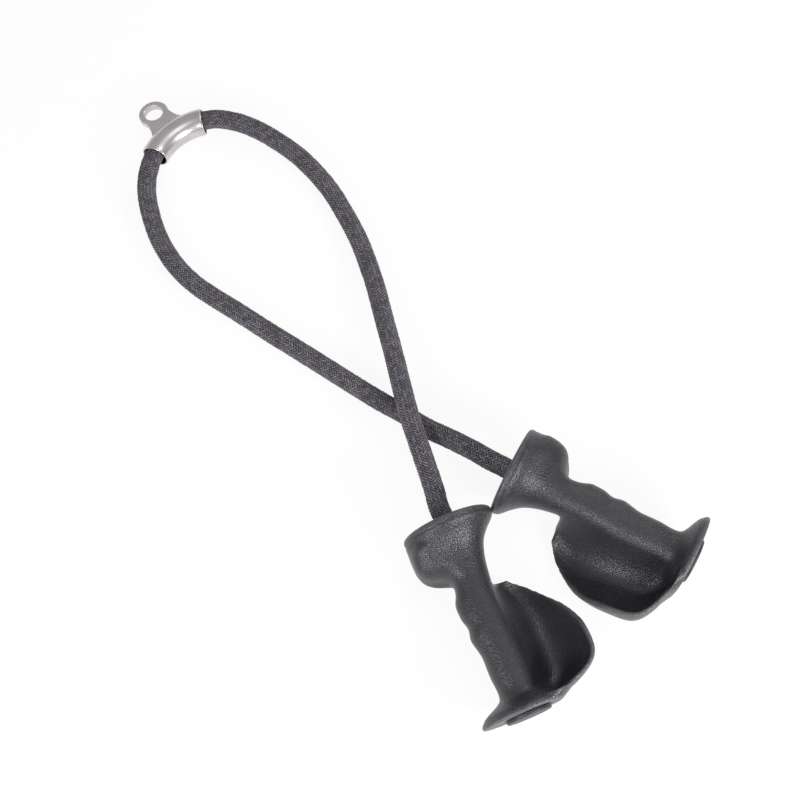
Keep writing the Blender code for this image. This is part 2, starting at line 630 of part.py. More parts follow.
def build():
    for thing in list(bpy.data.objects):
        bpy.data.objects.remove(thing, do_unlink=True)
    steel = new_material("cast_steel", (0.62, 0.60, 0.59), 0.32, metallic=1.0)
    plain_steel = new_material("plain_steel", (0.55, 0.55, 0.56), 0.4, metallic=1.0)
    rubber = new_material("black_rubber", (0.022, 0.021, 0.024), 0.5)
    plug_rubber = new_material("plug_rubber", (0.028, 0.027, 0.030), 0.55)
    braid = new_material("braided_rope", (0.07, 0.065, 0.072), 0.85)
    hanger = hanger_frame()
    handles = (handle_frame("a", HANDLE_A_PLACE, HANDLE_A_HEADING),
               handle_frame("b", HANDLE_B_PLACE, HANDLE_B_HEADING))
    bpy.context.view_layer.update()
    make_hanger(hanger, steel)
    make_ropes(hanger, handles, braid)
    for letter, side, frame in (("a", 1, handles[0]), ("b", -1, handles[1])):
        make_handle(letter, side, frame, rubber)
        make_rope_end(letter, frame, braid, plain_steel)
        make_end_plug(letter, frame, plug_rubber)


build()
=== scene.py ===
"""Triceps rope attachment on a white sweep: braided rope, cast hanger, two moulded handles."""
import math

import bmesh
import bpy
import numpy as np
from bpy.props import FloatProperty, FloatVectorProperty, IntProperty, PointerProperty
from mathutils import Matrix, Vector


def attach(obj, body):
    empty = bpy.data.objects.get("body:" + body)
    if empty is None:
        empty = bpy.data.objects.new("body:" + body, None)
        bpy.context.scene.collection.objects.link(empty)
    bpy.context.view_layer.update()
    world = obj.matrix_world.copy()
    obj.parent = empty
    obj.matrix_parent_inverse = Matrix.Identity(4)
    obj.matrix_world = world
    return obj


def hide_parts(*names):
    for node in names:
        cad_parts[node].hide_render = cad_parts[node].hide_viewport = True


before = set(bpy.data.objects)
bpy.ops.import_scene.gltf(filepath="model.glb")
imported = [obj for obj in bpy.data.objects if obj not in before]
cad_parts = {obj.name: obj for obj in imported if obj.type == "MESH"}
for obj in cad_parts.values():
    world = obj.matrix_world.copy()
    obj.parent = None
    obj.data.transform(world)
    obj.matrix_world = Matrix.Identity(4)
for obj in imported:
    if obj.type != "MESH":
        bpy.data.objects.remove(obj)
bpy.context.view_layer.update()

bl_info = {
    "name": "Triceps rope attachment",
    "version": (1, 0, 0),
    "blender": (4, 5, 0),
    "location": "View3D > Sidebar > Triceps Rope",
    "description": "Builds the rope, hanger, handles and stage of a triceps rope attachment",
    "category": "Object",
}

FIT_GAP = 0.0003
CUT_OVERRUN = 0.006
MERGE_DISTANCE = 1e-6

# Rope: how far a stitch reaches past its column, how full it is against its pitch, how far it
# stands out or sinks in, how much its tone varies, and how finely the rope is laid out
STITCH_OVERLAP_SHARE = 1.3
STITCH_FULLNESS_SHARE = 1.1
STITCH_WOBBLE = 0.0012
STITCH_TONE_SPREAD = 0.42
CORE_FACES = 16
ROUTE_PARTS = 12
HELD_PARTS = 16
ROPE_SPACING = 0.004
STUB_SPACING = 0.01

# Free rope from the hanger to each handle, as points on its centreline
ROPE_HELD_HALF_ARC = math.radians(46)
ENTRY_STRAIGHT = 0.016
ROPE_IN_BORE = 0.003
LEG_ROUTES = {
    "a": (
        (0.0429, 0.2356, 0.0138), (0.0521, 0.2209, 0.0120), (0.0596, 0.2027, 0.0098),
        (0.0653, 0.1818, 0.0085), (0.0675, 0.1603, 0.0082), (0.0673, 0.1367, 0.0082),
        (0.0636, 0.1117, 0.0083), (0.0597, 0.0927, 0.0088), (0.0546, 0.0750, 0.0100),
        (0.0422, 0.0424, 0.0136), (0.0280, 0.0116, 0.0178), (0.0141, -0.0188, 0.0219),
        (0.0001, -0.0480, 0.0254), (-0.0096, -0.0693, 0.0280), (-0.0184, -0.0917, 0.0312),
        (-0.0267, -0.1134, 0.0335), (-0.0328, -0.1289, 0.0347),
    ),
    "b": (
        (-0.0473, 0.2399, 0.0140), (-0.0571, 0.2269, 0.0128), (-0.0664, 0.2068, 0.0102),
        (-0.0728, 0.1846, 0.0087), (-0.0752, 0.1591, 0.0082), (-0.0725, 0.1357, 0.0082),
        (-0.0660, 0.1137, 0.0082), (-0.0598, 0.0957, 0.0082), (-0.0504, 0.0665, 0.0082),
        (-0.0355, 0.0225, 0.0082), (-0.0224, -0.0173, 0.0082), (-0.0140, -0.0412, 0.0083),
        (-0.0085, -0.0546, 0.0087), (-0.0016, -0.0794, 0.0142), (0.0058, -0.1031, 0.0255),
        (0.0116, -0.1219, 0.0328),
    ),
}

# Hanger
HANGER_PLACE = (-0.0034, 0.2116)
HANGER_YAW = math.radians(2.9)
SLEEVE_BEND_RADIUS = 0.050
SLEEVE_OUTER_DIAMETER = 0.0225
SLEEVE_WALL = 0.0016
SLEEVE_HALF_ARC = math.radians(31.3)
EYE_REACH = 0.031
EYE_HOLE_DIAMETER = 0.016
EYE_RING_WIDTH = 0.005
PLATE_THICKNESS = 0.006
PLATE_ROOT_WIDTH = 0.035
PLATE_WAIST_WIDTH = 0.0235
HANGER_SHARP_ANGLE = math.radians(60)
SATIN_TINT = 1.05
# Painted shade in the sleeve's bore: how dark its steel is against the cast steel
BORE_SHADE_TINT = 0.08
MACHINED_STEEL_COLOUR = (0.55, 0.55, 0.56)

# Raised lines at the plate's root: distance from the sleeve and half width of each, and their
# length against the waist, their width at the ends and their height against their width
ROOT_LINES = ((0.0009, 0.0007), (0.0026, 0.0006))
ROOT_LINE_SPAN_SHARE = 0.62
ROOT_LINE_END_SHARE = 0.35
ROOT_LINE_RISE_SHARE = 0.8

# Handles
HANDLE_A_PLACE = (-0.0417, -0.1540)
HANDLE_A_HEADING = math.radians(-105.62)
HANDLE_B_PLACE = (0.0227, -0.1506)
HANDLE_B_HEADING = math.radians(-65.78)
HANDLE_LENGTH = 0.1485
FLANGE_RADIUS = 0.0354
AXIS_HEIGHT = 0.0351
SCOOP_REACH = 0.0642
RIM_THICKNESS = 0.003
BOWL_END_FILLET = 0.015
BOWL_CURVE_STEPS = 14
EVENING_STEPS = 3
EVENING_SHARE = 0.03
SCOOP_ROOT = 0.002
BASE_THICKNESS = 0.006
HANDLE_BORE_DIAMETER = 0.0172
BORE_MOUTH_CHAMFER = 0.001
COUNTERBORE_DIAMETER = 0.0225
WASHER_THICKNESS = 0.002
FERRULE_LENGTH = 0.0134
ROPE_END_GAP = 0.0008
SECTION_SPACING_SHARE = 0.007
BOWL_RING_SPACING = 0.001
HANDLE_SHARP_ANGLE = math.radians(50)
FINGER_SIDE_SHARES = (
    (0.0, 0.955), (0.010, 0.995), (0.03, 1.0), (0.155, 1.0), (0.206, 0.95), (0.240, 0.80),
    (0.260, 0.56), (0.277, 0.43), (0.31, 0.385), (0.34, 0.405), (0.41, 0.515), (0.465, 0.51),
    (0.525, 0.45), (0.58, 0.495), (0.635, 0.45), (0.68, 0.417), (0.78, 0.43), (0.855, 0.41),
    (0.895, 0.43), (0.918, 0.55), (0.938, 0.74), (0.956, 0.88), (0.974, 0.96), (0.992, 0.99),
    (1.0, 0.975),
)
PALM_SIDE_SHARES = (
    (0.0, 0.955), (0.010, 0.995), (0.03, 1.0), (0.058, 0.92), (0.084, 0.80), (0.113, 0.69),
    (0.142, 0.60), (0.18, 0.53), (0.232, 0.465), (0.30, 0.415), (0.38, 0.38), (0.52, 0.40),
    (0.66, 0.43), (0.87, 0.40), (0.91, 0.43), (0.95, 0.66), (0.97, 0.78), (1.0, 0.78),
)
HALF_HEIGHT_SHARES = (
    (0.0, 0.955), (0.010, 0.99), (0.03, 0.99), (0.058, 0.92), (0.084, 0.81), (0.113, 0.71),
    (0.142, 0.63), (0.18, 0.56), (0.232, 0.50), (0.30, 0.445), (0.38, 0.43), (0.66, 0.43),
    (0.87, 0.43), (0.905, 0.46), (0.93, 0.56), (0.95, 0.68), (0.97, 0.78), (1.0, 0.80),
)
FINGER_SQUARENESS_SHARES = (
    (0.0, 2.0), (0.06, 2.0), (0.12, 3.4), (0.25, 3.4), (0.30, 2.3), (0.9, 2.1), (1.0, 2.0),
)
LOBE_SLANT_SHARES = ((0.08, 0.0), (0.16, 0.042), (0.29, 0.042), (0.38, 0.0))
SCOOP_PALM_SHARES = (
    (0.333, 0.38), (0.352, 0.55), (0.39, 0.695), (0.444, 0.785), (0.505, 0.86), (0.606, 0.955),
    (0.707, 0.995), (0.808, 0.985), (0.875, 0.94), (0.91, 0.865), (0.943, 0.73), (0.976, 0.535),
    (1.0, 0.39),
)
SCOOP_WIDEST_SHARES = (
    (0.333, -0.56), (0.384, -0.62), (0.444, -0.58), (0.505, -0.48), (0.606, -0.26), (0.707, 0.02),
    (0.808, 0.13), (0.875, 0.06), (0.943, -0.18), (1.0, -0.30),
)
SCOOP_UNDERSIDE_SHARES = (
    (0.333, -0.90), (0.384, -0.96), (0.505, -0.96), (0.606, -0.93), (0.707, -0.88), (0.84, -0.86),
    (0.93, -0.84), (0.968, -0.78), (1.0, -0.66),
)
SCOOP_TOP_SHARES = ((0.333, 0.83), (0.9, 0.80), (0.96, 0.66), (1.0, 0.62))
SCOOP_SQUARENESS = 2.5
RIM_HEIGHT_SHARES = (
    (0.318, -0.60), (0.345, -0.75), (0.384, -0.84), (0.444, -0.82), (0.505, -0.69), (0.606, -0.34),
    (0.707, 0.08), (0.808, 0.24), (0.875, 0.32), (0.943, 0.44), (0.976, 0.56), (1.0, 0.62),
)
BOWL_FLOOR_SHARES = (
    (0.318, -0.56), (0.345, -0.71), (0.384, -0.81), (0.444, -0.82), (0.505, -0.76), (0.606, -0.62),
    (0.707, -0.50), (0.808, -0.46), (0.9, -0.44), (1.0, -0.40),
)
BOWL_EDGE_ANGLE = math.radians(27)
BOWL_COLUMN_SIDE_SHARE = 0.34
BOWL_RIM_SIDE_SHARE = 0.42

# Rounding over: how many steps, how much of each pull is followed along the normal and across
# the surface, and how often the whole skin is evened out at the end
ROUNDING_STEPS = 55
ROUNDING_SHARE = 0.8
SLIDING_SHARE = 0.3
LAST_STEPS = 3

# Where the scoop's wall is eased: start and end along the handle, start across the flange
# and how many times
EASED_WALL_SHARES = (
    (0.27, 0.43, 0.45, 40),
    (0.34, 0.56, 0.52, 12),
    (0.90, 1.04, 0.45, 5),
)
FADE_SHARE = 0.06

# Pressed lines: depth, half width, how deep, and the share of the flange from which they show
LIP_LINES = (
    (0.0050, 0.0012, 0.0005, 0.70),
    (HANDLE_LENGTH - BASE_THICKNESS + 0.0010, 0.0010, 0.0003, 0.60),
)

# Rubbed edges with a painted highlight: how strongly a bend counts, and how far the mask spreads
CREST_GAIN = 0.0075
CREST_SPREAD_STEPS = 4

# End plugs; the dish is given as shares of the head's radius and depths
PLUG_STEM_LENGTH = 0.004
PLUG_STEM_GAP = 0.001
PLUG_HEAD_DIAMETER = 0.0345
PLUG_HEAD_HEIGHT = 0.003
PLUG_SEAT_MARGIN = 0.0015
PLUG_EDGE_ROUND = 0.0012
PLUG_EDGE_STEPS = 5
PLUG_CHAMFER = 0.0003
PLUG_DISH = ((0.74, 0.0), (0.71, 0.0004), (0.66, 0.0004), (0.63, 0.0), (0.0, 0.0))
PLUG_SHARP_ANGLE = math.radians(40)
PLUG_TINT = 1.2
PLUG_GRAIN_SHARE = 0.7

# Camera: where it stands, how it is turned, its sensor in millimetres and how near it sees
CAMERA_PLACE = (-0.2193, -0.3252, 0.9773)
CAMERA_TURN = math.radians(-38)
CAMERA_TILT = math.radians(20)
CAMERA_SENSOR = 36
CAMERA_NEAR = 0.01

# Floor and surround
FLOOR_HALF_WIDTH = 4.0
FLOOR_GLOW_SHARE = 0.9
SURROUND_COLOUR = (0.98, 0.96, 1.0, 1.0)
SURROUND_STRENGTH = 0.5
WHITE = (1.0, 1.0, 1.0, 1.0)

# Softboxes: name, place, aim, size, share of the power and colour
SOFTBOXES = (
    ("front_softbox", (0.15, -0.95, 0.45), (0.0, -0.1, 0.0), (0.40, 0.25), 0.43, (1.0, 0.99, 0.985)),
    ("left_softbox", (-0.80, -0.45, 0.60), (0.0, -0.1, 0.0), (0.40, 0.30), 0.33, (0.985, 0.985, 1.0)),
    ("right_softbox", (0.75, 0.30, 0.65), (0.0, -0.1, 0.0), (0.45, 0.30), 0.13, (1.0, 0.99, 0.985)),
    ("overhead_softbox", (0.30, -0.05, 1.38), (0.0, -0.2, 0.0), (0.70, 0.50), 0.11, (1.0, 0.99, 0.99)),
)

SLEEVE_RADIUS = SLEEVE_OUTER_DIAMETER / 2
SLEEVE_BORE_RADIUS = SLEEVE_RADIUS - SLEEVE_WALL
EYE_RING_RADIUS = EYE_HOLE_DIAMETER / 2 + EYE_RING_WIDTH
EYE_CENTRE = SLEEVE_BEND_RADIUS + EYE_REACH
SHOULDER_DEPTH = (HANDLE_LENGTH - PLUG_STEM_LENGTH - PLUG_STEM_GAP - FERRULE_LENGTH - WASHER_THICKNESS
                  - 2 * FIT_GAP)


class RopeSettings(bpy.types.PropertyGroup):
    diameter: FloatProperty(name="Diameter", description="Rope diameter over the stitches",
                            default=0.016, min=0.008, max=0.03, unit="LENGTH")
    columns: IntProperty(name="Columns", description="Stitch columns around the rope",
                         default=16, min=8, max=24)
    pitch: FloatProperty(name="Pitch", description="Distance from one stitch row to the next",
                         default=0.0025, min=0.001, max=0.008, unit="LENGTH")
    lean: FloatProperty(name="Lean", description="How far a stitch leans from the rope's line",
                        default=math.radians(44), min=math.radians(10), max=math.radians(60),
                        subtype="ANGLE")
    yarn_colour: FloatVectorProperty(name="Yarn", description="Colour of the yarn", subtype="COLOR",
                                     size=3, min=0, max=1, default=(0.088, 0.083, 0.094))
    gap_shade_colour: FloatVectorProperty(name="Gap", description="Painted shade between the stitches",
                                    subtype="COLOR", size=3, min=0, max=1,
                                    default=(0.010, 0.009, 0.012))


class HandleSettings(bpy.types.PropertyGroup):
    facet: FloatProperty(name="Facet", description="Size of the moulding's mesh facets",
                         default=0.00115, min=0.0006, max=0.004, unit="LENGTH")
    hollow_round: FloatProperty(name="Hollow round", description="Smallest radius of inner corners",
                                default=0.010, min=0.001, max=0.03, unit="LENGTH")
    edge_round: FloatProperty(name="Edge round", description="Smallest radius of outer edges",
                              default=0.0016, min=0.0005, max=0.01, unit="LENGTH")
    rubber_colour: FloatVectorProperty(name="Rubber", description="Colour of the moulded rubber",
                                       subtype="COLOR", size=3, min=0, max=1,
                                       default=(0.0195, 0.0178, 0.0222))
    worn_and_highlight_colour: FloatVectorProperty(name="Worn edge and highlight", description="Colour of rubbed edges and their painted highlight",
                                     subtype="COLOR", size=3, min=0, max=1,
                                     default=(0.10, 0.098, 0.105))
    grain: FloatProperty(name="Grain", description="Size of one pebble of the grain",
                         default=0.0014, min=0.0004, max=0.004, unit="LENGTH")


class HangerSettings(bpy.types.PropertyGroup):
    edge: FloatProperty(name="Edge", description="Rounding of the eye plate's edges",
                        default=0.0011, min=0.0002, max=0.0025, unit="LENGTH")
    steel_colour: FloatVectorProperty(name="Steel", description="Colour of the cast steel",
                                      subtype="COLOR", size=3, min=0, max=1,
                                      default=(0.66, 0.635, 0.625))


class StageSettings(bpy.types.PropertyGroup):
    lens: FloatProperty(name="Lens", description="Camera lens in millimetres", default=58.5,
                        min=20, max=200)
    lamps: FloatProperty(name="Lamps", description="Power shared out among the softboxes",
                         default=18.0, min=0, max=400)
    floor_colour: FloatVectorProperty(name="Floor", description="Colour of the floor", subtype="COLOR",
                                      size=3, min=0, max=1, default=(1.0, 0.93, 0.925))


def follow(shares, place):
    """Read a smooth curve through a table of (place, value) shares."""
    if place <= shares[0][0]:
        return shares[0][1]
    if place >= shares[-1][0]:
        return shares[-1][1]
    last = len(shares) - 1
    index = next(i for i in range(last) if place <= shares[i + 1][0])

    def slope(i):
        if i == 0 or i == last:
            return 0.0
        before = (shares[i][1] - shares[i - 1][1]) / (shares[i][0] - shares[i - 1][0])
        after = (shares[i + 1][1] - shares[i][1]) / (shares[i + 1][0] - shares[i][0])
        if before * after <= 0:
            return 0.0
        return 2 * before * after / (before + after)

    (x0, y0), (x1, y1) = shares[index:index + 2]
    width = x1 - x0
    t = (place - x0) / width
    ease = t * t * (3 - 2 * t)
    return (y0 * (1 - ease) + y1 * ease + width * slope(index) * t * (1 - t) ** 2
            - width * slope(index + 1) * t * t * (1 - t))


def power(value, exponent):
    return math.copysign(abs(value) ** exponent, value)


def places_along(start, end, spacing):
    count = max(2, round((end - start) / spacing))
    return [start + (end - start) * i / count for i in range(count + 1)]


def full_turn(count):
    return [math.tau * i / count for i in range(count)]


def mesh_from(name, bm):
    bmesh.ops.recalc_face_normals(bm, faces=bm.faces)
    mesh = bpy.data.meshes.new(name)
    bm.to_mesh(mesh)
    bm.free()
    mesh.shade_smooth()
    return mesh


def skin(bm, loops):
    """Add faces between each two neighbouring loops."""
    for lower, upper in zip(loops, loops[1:]):
        for i in range(len(lower)):
            j = (i + 1) % len(lower)
            bm.faces.new((lower[i], lower[j], upper[j], upper[i]))


def add_loft(bm, rings):
    """Skin rings of equal length and close both ends."""
    loops = [[bm.verts.new(point) for point in ring] for ring in rings]
    skin(bm, loops)
    bm.faces.new(loops[0])
    bm.faces.new(loops[-1])


def loft(name, rings):
    bm = bmesh.new()
    add_loft(bm, rings)
    return mesh_from(name, bm)


def turned(name, profile, faces=96):
    """Spin a profile of (radius, depth) points about local Z, where it starts and ends."""
    bm = bmesh.new()
    points = [bm.verts.new((radius, 0.0, depth)) for radius, depth in profile]
    edges = [bm.edges.new(pair) for pair in zip(points, points[1:])]
    bmesh.ops.spin(bm, geom=points + edges, cent=(0, 0, 0), axis=(0, 0, 1), angle=math.tau,
                   steps=faces, use_merge=True)
    bmesh.ops.remove_doubles(bm, verts=bm.verts, dist=MERGE_DISTANCE)
    return mesh_from(name, bm)


def add_piece(name, data, material=None):
    piece = bpy.data.objects.new(name, data)
    bpy.context.scene.collection.objects.link(piece)
    if material:
        data.materials.clear()
        data.materials.append(material)
    return piece


def bake(piece):
    """Plain mesh of a piece with its modifiers applied."""
    bpy.context.view_layer.update()
    evaluated = piece.evaluated_get(bpy.context.evaluated_depsgraph_get())
    return bpy.data.meshes.new_from_object(evaluated)


def drop(*pieces):
    for piece in pieces:
        bpy.data.objects.remove(piece, do_unlink=True)


def axis_frame(place, heading):
    """Matrix at a handle's flange face: local Z along the rope's axis, local Y up."""
    along = Vector((math.cos(heading), math.sin(heading), 0))
    up = Vector((0, 0, 1))
    turn = Matrix((up.cross(along), up, along)).transposed().to_4x4()
    return Matrix.Translation((*place, AXIS_HEIGHT)) @ turn


def hanger_matrix():
    """Matrix at the centre of the sleeve's bend: local Y points at the eye."""
    reach, half_plate = EYE_REACH + EYE_RING_RADIUS, PLATE_THICKNESS / 2
    tip = math.asin(SLEEVE_RADIUS / math.hypot(reach, half_plate)) - math.atan2(half_plate, reach)
    height = SLEEVE_RADIUS + SLEEVE_BEND_RADIUS * math.sin(tip)
    turn = Matrix.Rotation(HANGER_YAW, 4, "Z") @ Matrix.Rotation(-tip, 4, "X")
    return Matrix.Translation((*HANGER_PLACE, height)) @ turn


def handle_matrices():
    """Each handle's side, 1 or -1, and the matrix at its flange face."""
    return {"a": (1, axis_frame(HANDLE_A_PLACE, HANDLE_A_HEADING)),
            "b": (-1, axis_frame(HANDLE_B_PLACE, HANDLE_B_HEADING))}


# Nodes

def set_inputs(tree, node, inputs):
    """Set each input to its value, or link it to the socket given for it."""
    for key, value in inputs.items():
        if isinstance(value, bpy.types.NodeSocket):
            tree.links.new(value, node.inputs[key])
        else:
            node.inputs[key].default_value = value


def outputs_of(tree, kind, inputs=None, **settings):
    """Add a node with its settings and inputs, for its outputs."""
    node = tree.nodes.new(kind)
    for key, value in settings.items():
        setattr(node, key, value)
    set_inputs(tree, node, inputs or {})
    return node.outputs


def result(tree, kind, inputs=None, **settings):
    """Add a node, for its first output."""
    return outputs_of(tree, kind, inputs, **settings)[0]


def number(tree, operation, a, b=0.0):
    return result(tree, "ShaderNodeMath", {0: a, 1: b}, operation=operation)


def plus(tree, a, b):
    return number(tree, "ADD", a, b)


def minus(tree, a, b):
    return number(tree, "SUBTRACT", a, b)


def times(tree, a, b):
    return number(tree, "MULTIPLY", a, b)


def over(tree, a, b):
    return number(tree, "DIVIDE", a, b)


def vector(tree, operation, a, b):
    """Vector maths; b is the factor where a vector is scaled."""
    key = "Scale" if operation == "SCALE" else 1
    return result(tree, "ShaderNodeVectorMath", {0: a, key: b}, operation=operation)


def noise(tree, place, scale, detail, **more):
    return outputs_of(tree, "ShaderNodeTexNoise", {
        "Vector": place, "Scale": scale, "Detail": detail, **more})


def spread(tree, value, low, high, to_low=0.0, to_high=1.0):
    """Map the values from low to high onto the range given."""
    return result(tree, "ShaderNodeMapRange", {
        "Value": value, "From Min": low, "From Max": high, "To Min": to_low, "To Max": to_high})


def blend_colours(tree, share, a, b):
    first, second = ((*value, 1.0) if isinstance(value, tuple) else value for value in (a, b))
    return outputs_of(tree, "ShaderNodeMix", {"Factor": share, 6: first, 7: second},
                      data_type="RGBA")[2]


def bumped(tree, height, strength, distance):
    return result(tree, "ShaderNodeBump", {
        "Height": height, "Strength": strength, "Distance": distance})


def object_place(tree):
    return outputs_of(tree, "ShaderNodeTexCoord")["Object"]


def attribute(tree, name):
    return outputs_of(tree, "ShaderNodeAttribute", attribute_name=name)


def new_tree(name, kind, inputs, outputs):
    """Node tree with inputs as (label, kind, default) and outputs as (label, kind)."""
    tree = bpy.data.node_groups.new(name, kind)
    for label, socket_kind, default in inputs:
        socket = tree.interface.new_socket(label, in_out="INPUT",
                                           socket_type="NodeSocket" + socket_kind)
        if default is not None:
            socket.default_value = default
    for label, socket_kind in outputs:
        tree.interface.new_socket(label, in_out="OUTPUT", socket_type="NodeSocket" + socket_kind)
    start, end = tree.nodes.new("NodeGroupInput"), tree.nodes.new("NodeGroupOutput")
    return tree, start.outputs, end.inputs


# Materials: shares by which creases, rubbed edges, fibres, fuzz and grain show in tone, height or
# gloss; the creases' tone is painted shade, and the rubbed edges' tone is partly a painted highlight

CREASE_WIDTH_SHARE = 0.16
CREASE_DEPTH_SHARE = 0.35
CREASE_SHADE_SHARE = 0.8
WEAR_AND_HIGHLIGHT_SHARE = 0.65
FIBRE_STRETCH = (0.35, 2.4)
FUZZ_HEIGHT_SHARE = 0.8
GRAIN_GLOSS_SHARE = 0.08
PAPER_MOTTLE_SHARE = 0.04


def pebble_grain(name):
    """Leather-like pebbles with shallow creases between them."""
    tree, given, made = new_tree(
        name, "ShaderNodeTree",
        (("Position", "Vector", None), ("Pebble size", "Float", 0.0012),
         ("Unevenness", "Float", 0.5), ("Drift", "Float", 0.0012)),
        (("Height", "Float"), ("Crease", "Float")))
    here = given["Position"]
    warp = noise(tree, here, scale=420.0, detail=2.0)["Color"]
    drift = vector(tree, "ADD", warp, (-0.5, -0.5, -0.5))
    cells = {"Vector": vector(tree, "ADD", here, vector(tree, "SCALE", drift, given["Drift"])),
             "Scale": over(tree, 1.0, given["Pebble size"])}
    pebbles = result(tree, "ShaderNodeTexVoronoi", {**cells, "Smoothness": 0.35}, feature="SMOOTH_F1")
    cracks = result(tree, "ShaderNodeTexVoronoi", cells, feature="DISTANCE_TO_EDGE")
    crease = spread(tree, cracks, 0.0, CREASE_WIDTH_SHARE, 1.0, 0.0)
    lumps = times(tree, noise(tree, here, scale=260.0, detail=3.0)["Fac"], given["Unevenness"])
    dome = minus(tree, minus(tree, 1.0, pebbles), times(tree, crease, CREASE_DEPTH_SHARE))
    tree.links.new(plus(tree, dome, lumps), made["Height"])
    tree.links.new(crease, made["Crease"])
    return tree


def edge_wear_and_highlight(name):
    """Mask of rubbed edges with a painted highlight, from the mesh's own crest values, broken up by
    noise.
    """
    tree, given, made = new_tree(
        name, "ShaderNodeTree",
        (("Position", "Vector", None), ("Crest", "Float", 0.0), ("Start", "Float", 0.16),
         ("Full", "Float", 0.5)),
        (("Mask", "Float"),))
    patches = noise(tree, given["Position"], scale=190.0, detail=4.0, Roughness=0.6)["Fac"]
    broken = plus(tree, given["Crest"], times(tree, minus(tree, patches, 0.5), 0.5))
    tree.links.new(spread(tree, broken, given["Start"], given["Full"]), made["Mask"])
    return tree


SHARED_EFFECTS = {"pebble grain": pebble_grain, "edge wear": edge_wear_and_highlight}


def place_effect(tree, name, inputs):
    """Outputs of a shared effect, whose group is made the first time it is placed."""
    group = bpy.data.node_groups.get(name) or SHARED_EFFECTS[name](name)
    return outputs_of(tree, "ShaderNodeGroup", inputs, node_tree=group)


def new_shader(name):
    material = bpy.data.materials.new(name)
    material.use_nodes = True
    return material, material.node_tree, material.node_tree.nodes["Principled BSDF"]


def tint(colour, factor):
    return tuple(min(1.0, value * factor) for value in colour)


def moulded_rubber(name, colour, worn_and_highlight_colour, grain, strength=0.4, roughness=0.31):
    """Black moulded rubber with pebble grain and painted shade in its creases, paler where it is
    rubbed and where a highlight is painted along its edges.
    """
    material, tree, shader = new_shader(name)
    here, crest = object_place(tree), attribute(tree, "crest")["Fac"]
    pebbles = place_effect(tree, "pebble grain", {"Position": here, "Pebble size": grain})
    wear_and_highlight = place_effect(tree, "edge wear", {"Position": here, "Crest": crest})
    cloud = spread(tree, noise(tree, here, scale=38.0, detail=5.0)["Fac"], 0.3, 0.7)
    lighter, darker = tint(colour, 1.5), tint(colour, 0.4)
    base = blend_colours(tree, cloud, colour, lighter)
    # Painted shade: the grain's creases are darkened in the base colour.
    base = blend_colours(tree, times(tree, pebbles["Crease"], CREASE_SHADE_SHARE), base, darker)
    # Rubbed edges and painted highlight: crests are lightened towards the worn colour, standing in for
    # real rubbing and for the highlight along rims and edges.
    base = blend_colours(tree, times(tree, wear_and_highlight["Mask"], WEAR_AND_HIGHLIGHT_SHARE), base, worn_and_highlight_colour)
    set_inputs(tree, shader, {
        "Base Color": base,
        "Roughness": spread(tree, pebbles["Height"], 0.4, 1.1, roughness + 0.1, roughness - 0.05),
        "Normal": bumped(tree, pebbles["Height"], strength, distance=0.0005),
        "Specular IOR Level": 0.55})
    return material


def braided_yarn(rope):
    """Matt yarn: fine fibres along each stitch, stitch-to-stitch tone, and painted shade that darkens
    each stitch deep down and the gaps to near black.
    """
    material, tree, shader = new_shader("braided yarn")
    tone = attribute(tree, "tone")["Fac"]
    local = outputs_of(tree, "ShaderNodeSeparateXYZ", {0: attribute(tree, "stitch_at")["Vector"]})
    along, across = (times(tree, local[i], share) for i, share in enumerate(FIBRE_STRETCH))
    fibre_place = result(tree, "ShaderNodeCombineXYZ", {0: along, 1: across, 2: tone})
    fibres = noise(tree, fibre_place, scale=3.0, detail=3.0, Roughness=0.7)["Fac"]
    fuzz = noise(tree, object_place(tree), scale=1700.0, detail=2.0)["Fac"]
    yarn = tuple(rope.yarn_colour)
    darker, paler = tint(yarn, 0.55), tint(yarn, 2.4)
    shade = blend_colours(tree, tone, darker, paler)
    shade = blend_colours(tree, spread(tree, fibres, 0.35, 0.7, 0.0, 0.6), shade, yarn)
    # Painted shade: each stitch fades to the gap colour deep down, and the core, with no stitch place,
    # takes the gap colour.
    depth = number(tree, "POWER", spread(tree, local[2], 0.0, 0.85), 0.8)
    shade = blend_colours(tree, depth, tuple(rope.gap_shade_colour), shade)
    height = plus(tree, fibres, times(tree, fuzz, FUZZ_HEIGHT_SHARE))
    set_inputs(tree, shader, {
        "Base Color": shade,
        "Roughness": spread(tree, fuzz, 0.3, 0.7, 0.75, 0.95),
        "Normal": bumped(tree, height, strength=0.6, distance=0.0003),
        "Specular IOR Level": 0.3,
        "Sheen Weight": 0.25,
        "Sheen Roughness": 0.5})
    return material


def cast_steel(name, colour, roughness, grain_strength, smears):
    """Steel with a fine satin grain and faint smears in its polish."""
    material, tree, shader = new_shader(name)
    here, duller = object_place(tree), tint(colour, 0.84)
    fine = noise(tree, here, scale=2600.0, detail=3.0)["Fac"]
    broad = noise(tree, here, scale=70.0, detail=4.0, Distortion=0.6)["Fac"]
    uneven = plus(tree, times(tree, fine, GRAIN_GLOSS_SHARE), times(tree, broad, smears))
    set_inputs(tree, shader, {
        "Base Color": blend_colours(tree, spread(tree, broad, 0.3, 0.7), colour, duller),
        "Roughness": plus(tree, uneven, roughness - (GRAIN_GLOSS_SHARE + smears) / 2),
        "Normal": bumped(tree, fine, grain_strength, distance=0.0001),
        "Metallic": 1.0})
    return material


# Rope

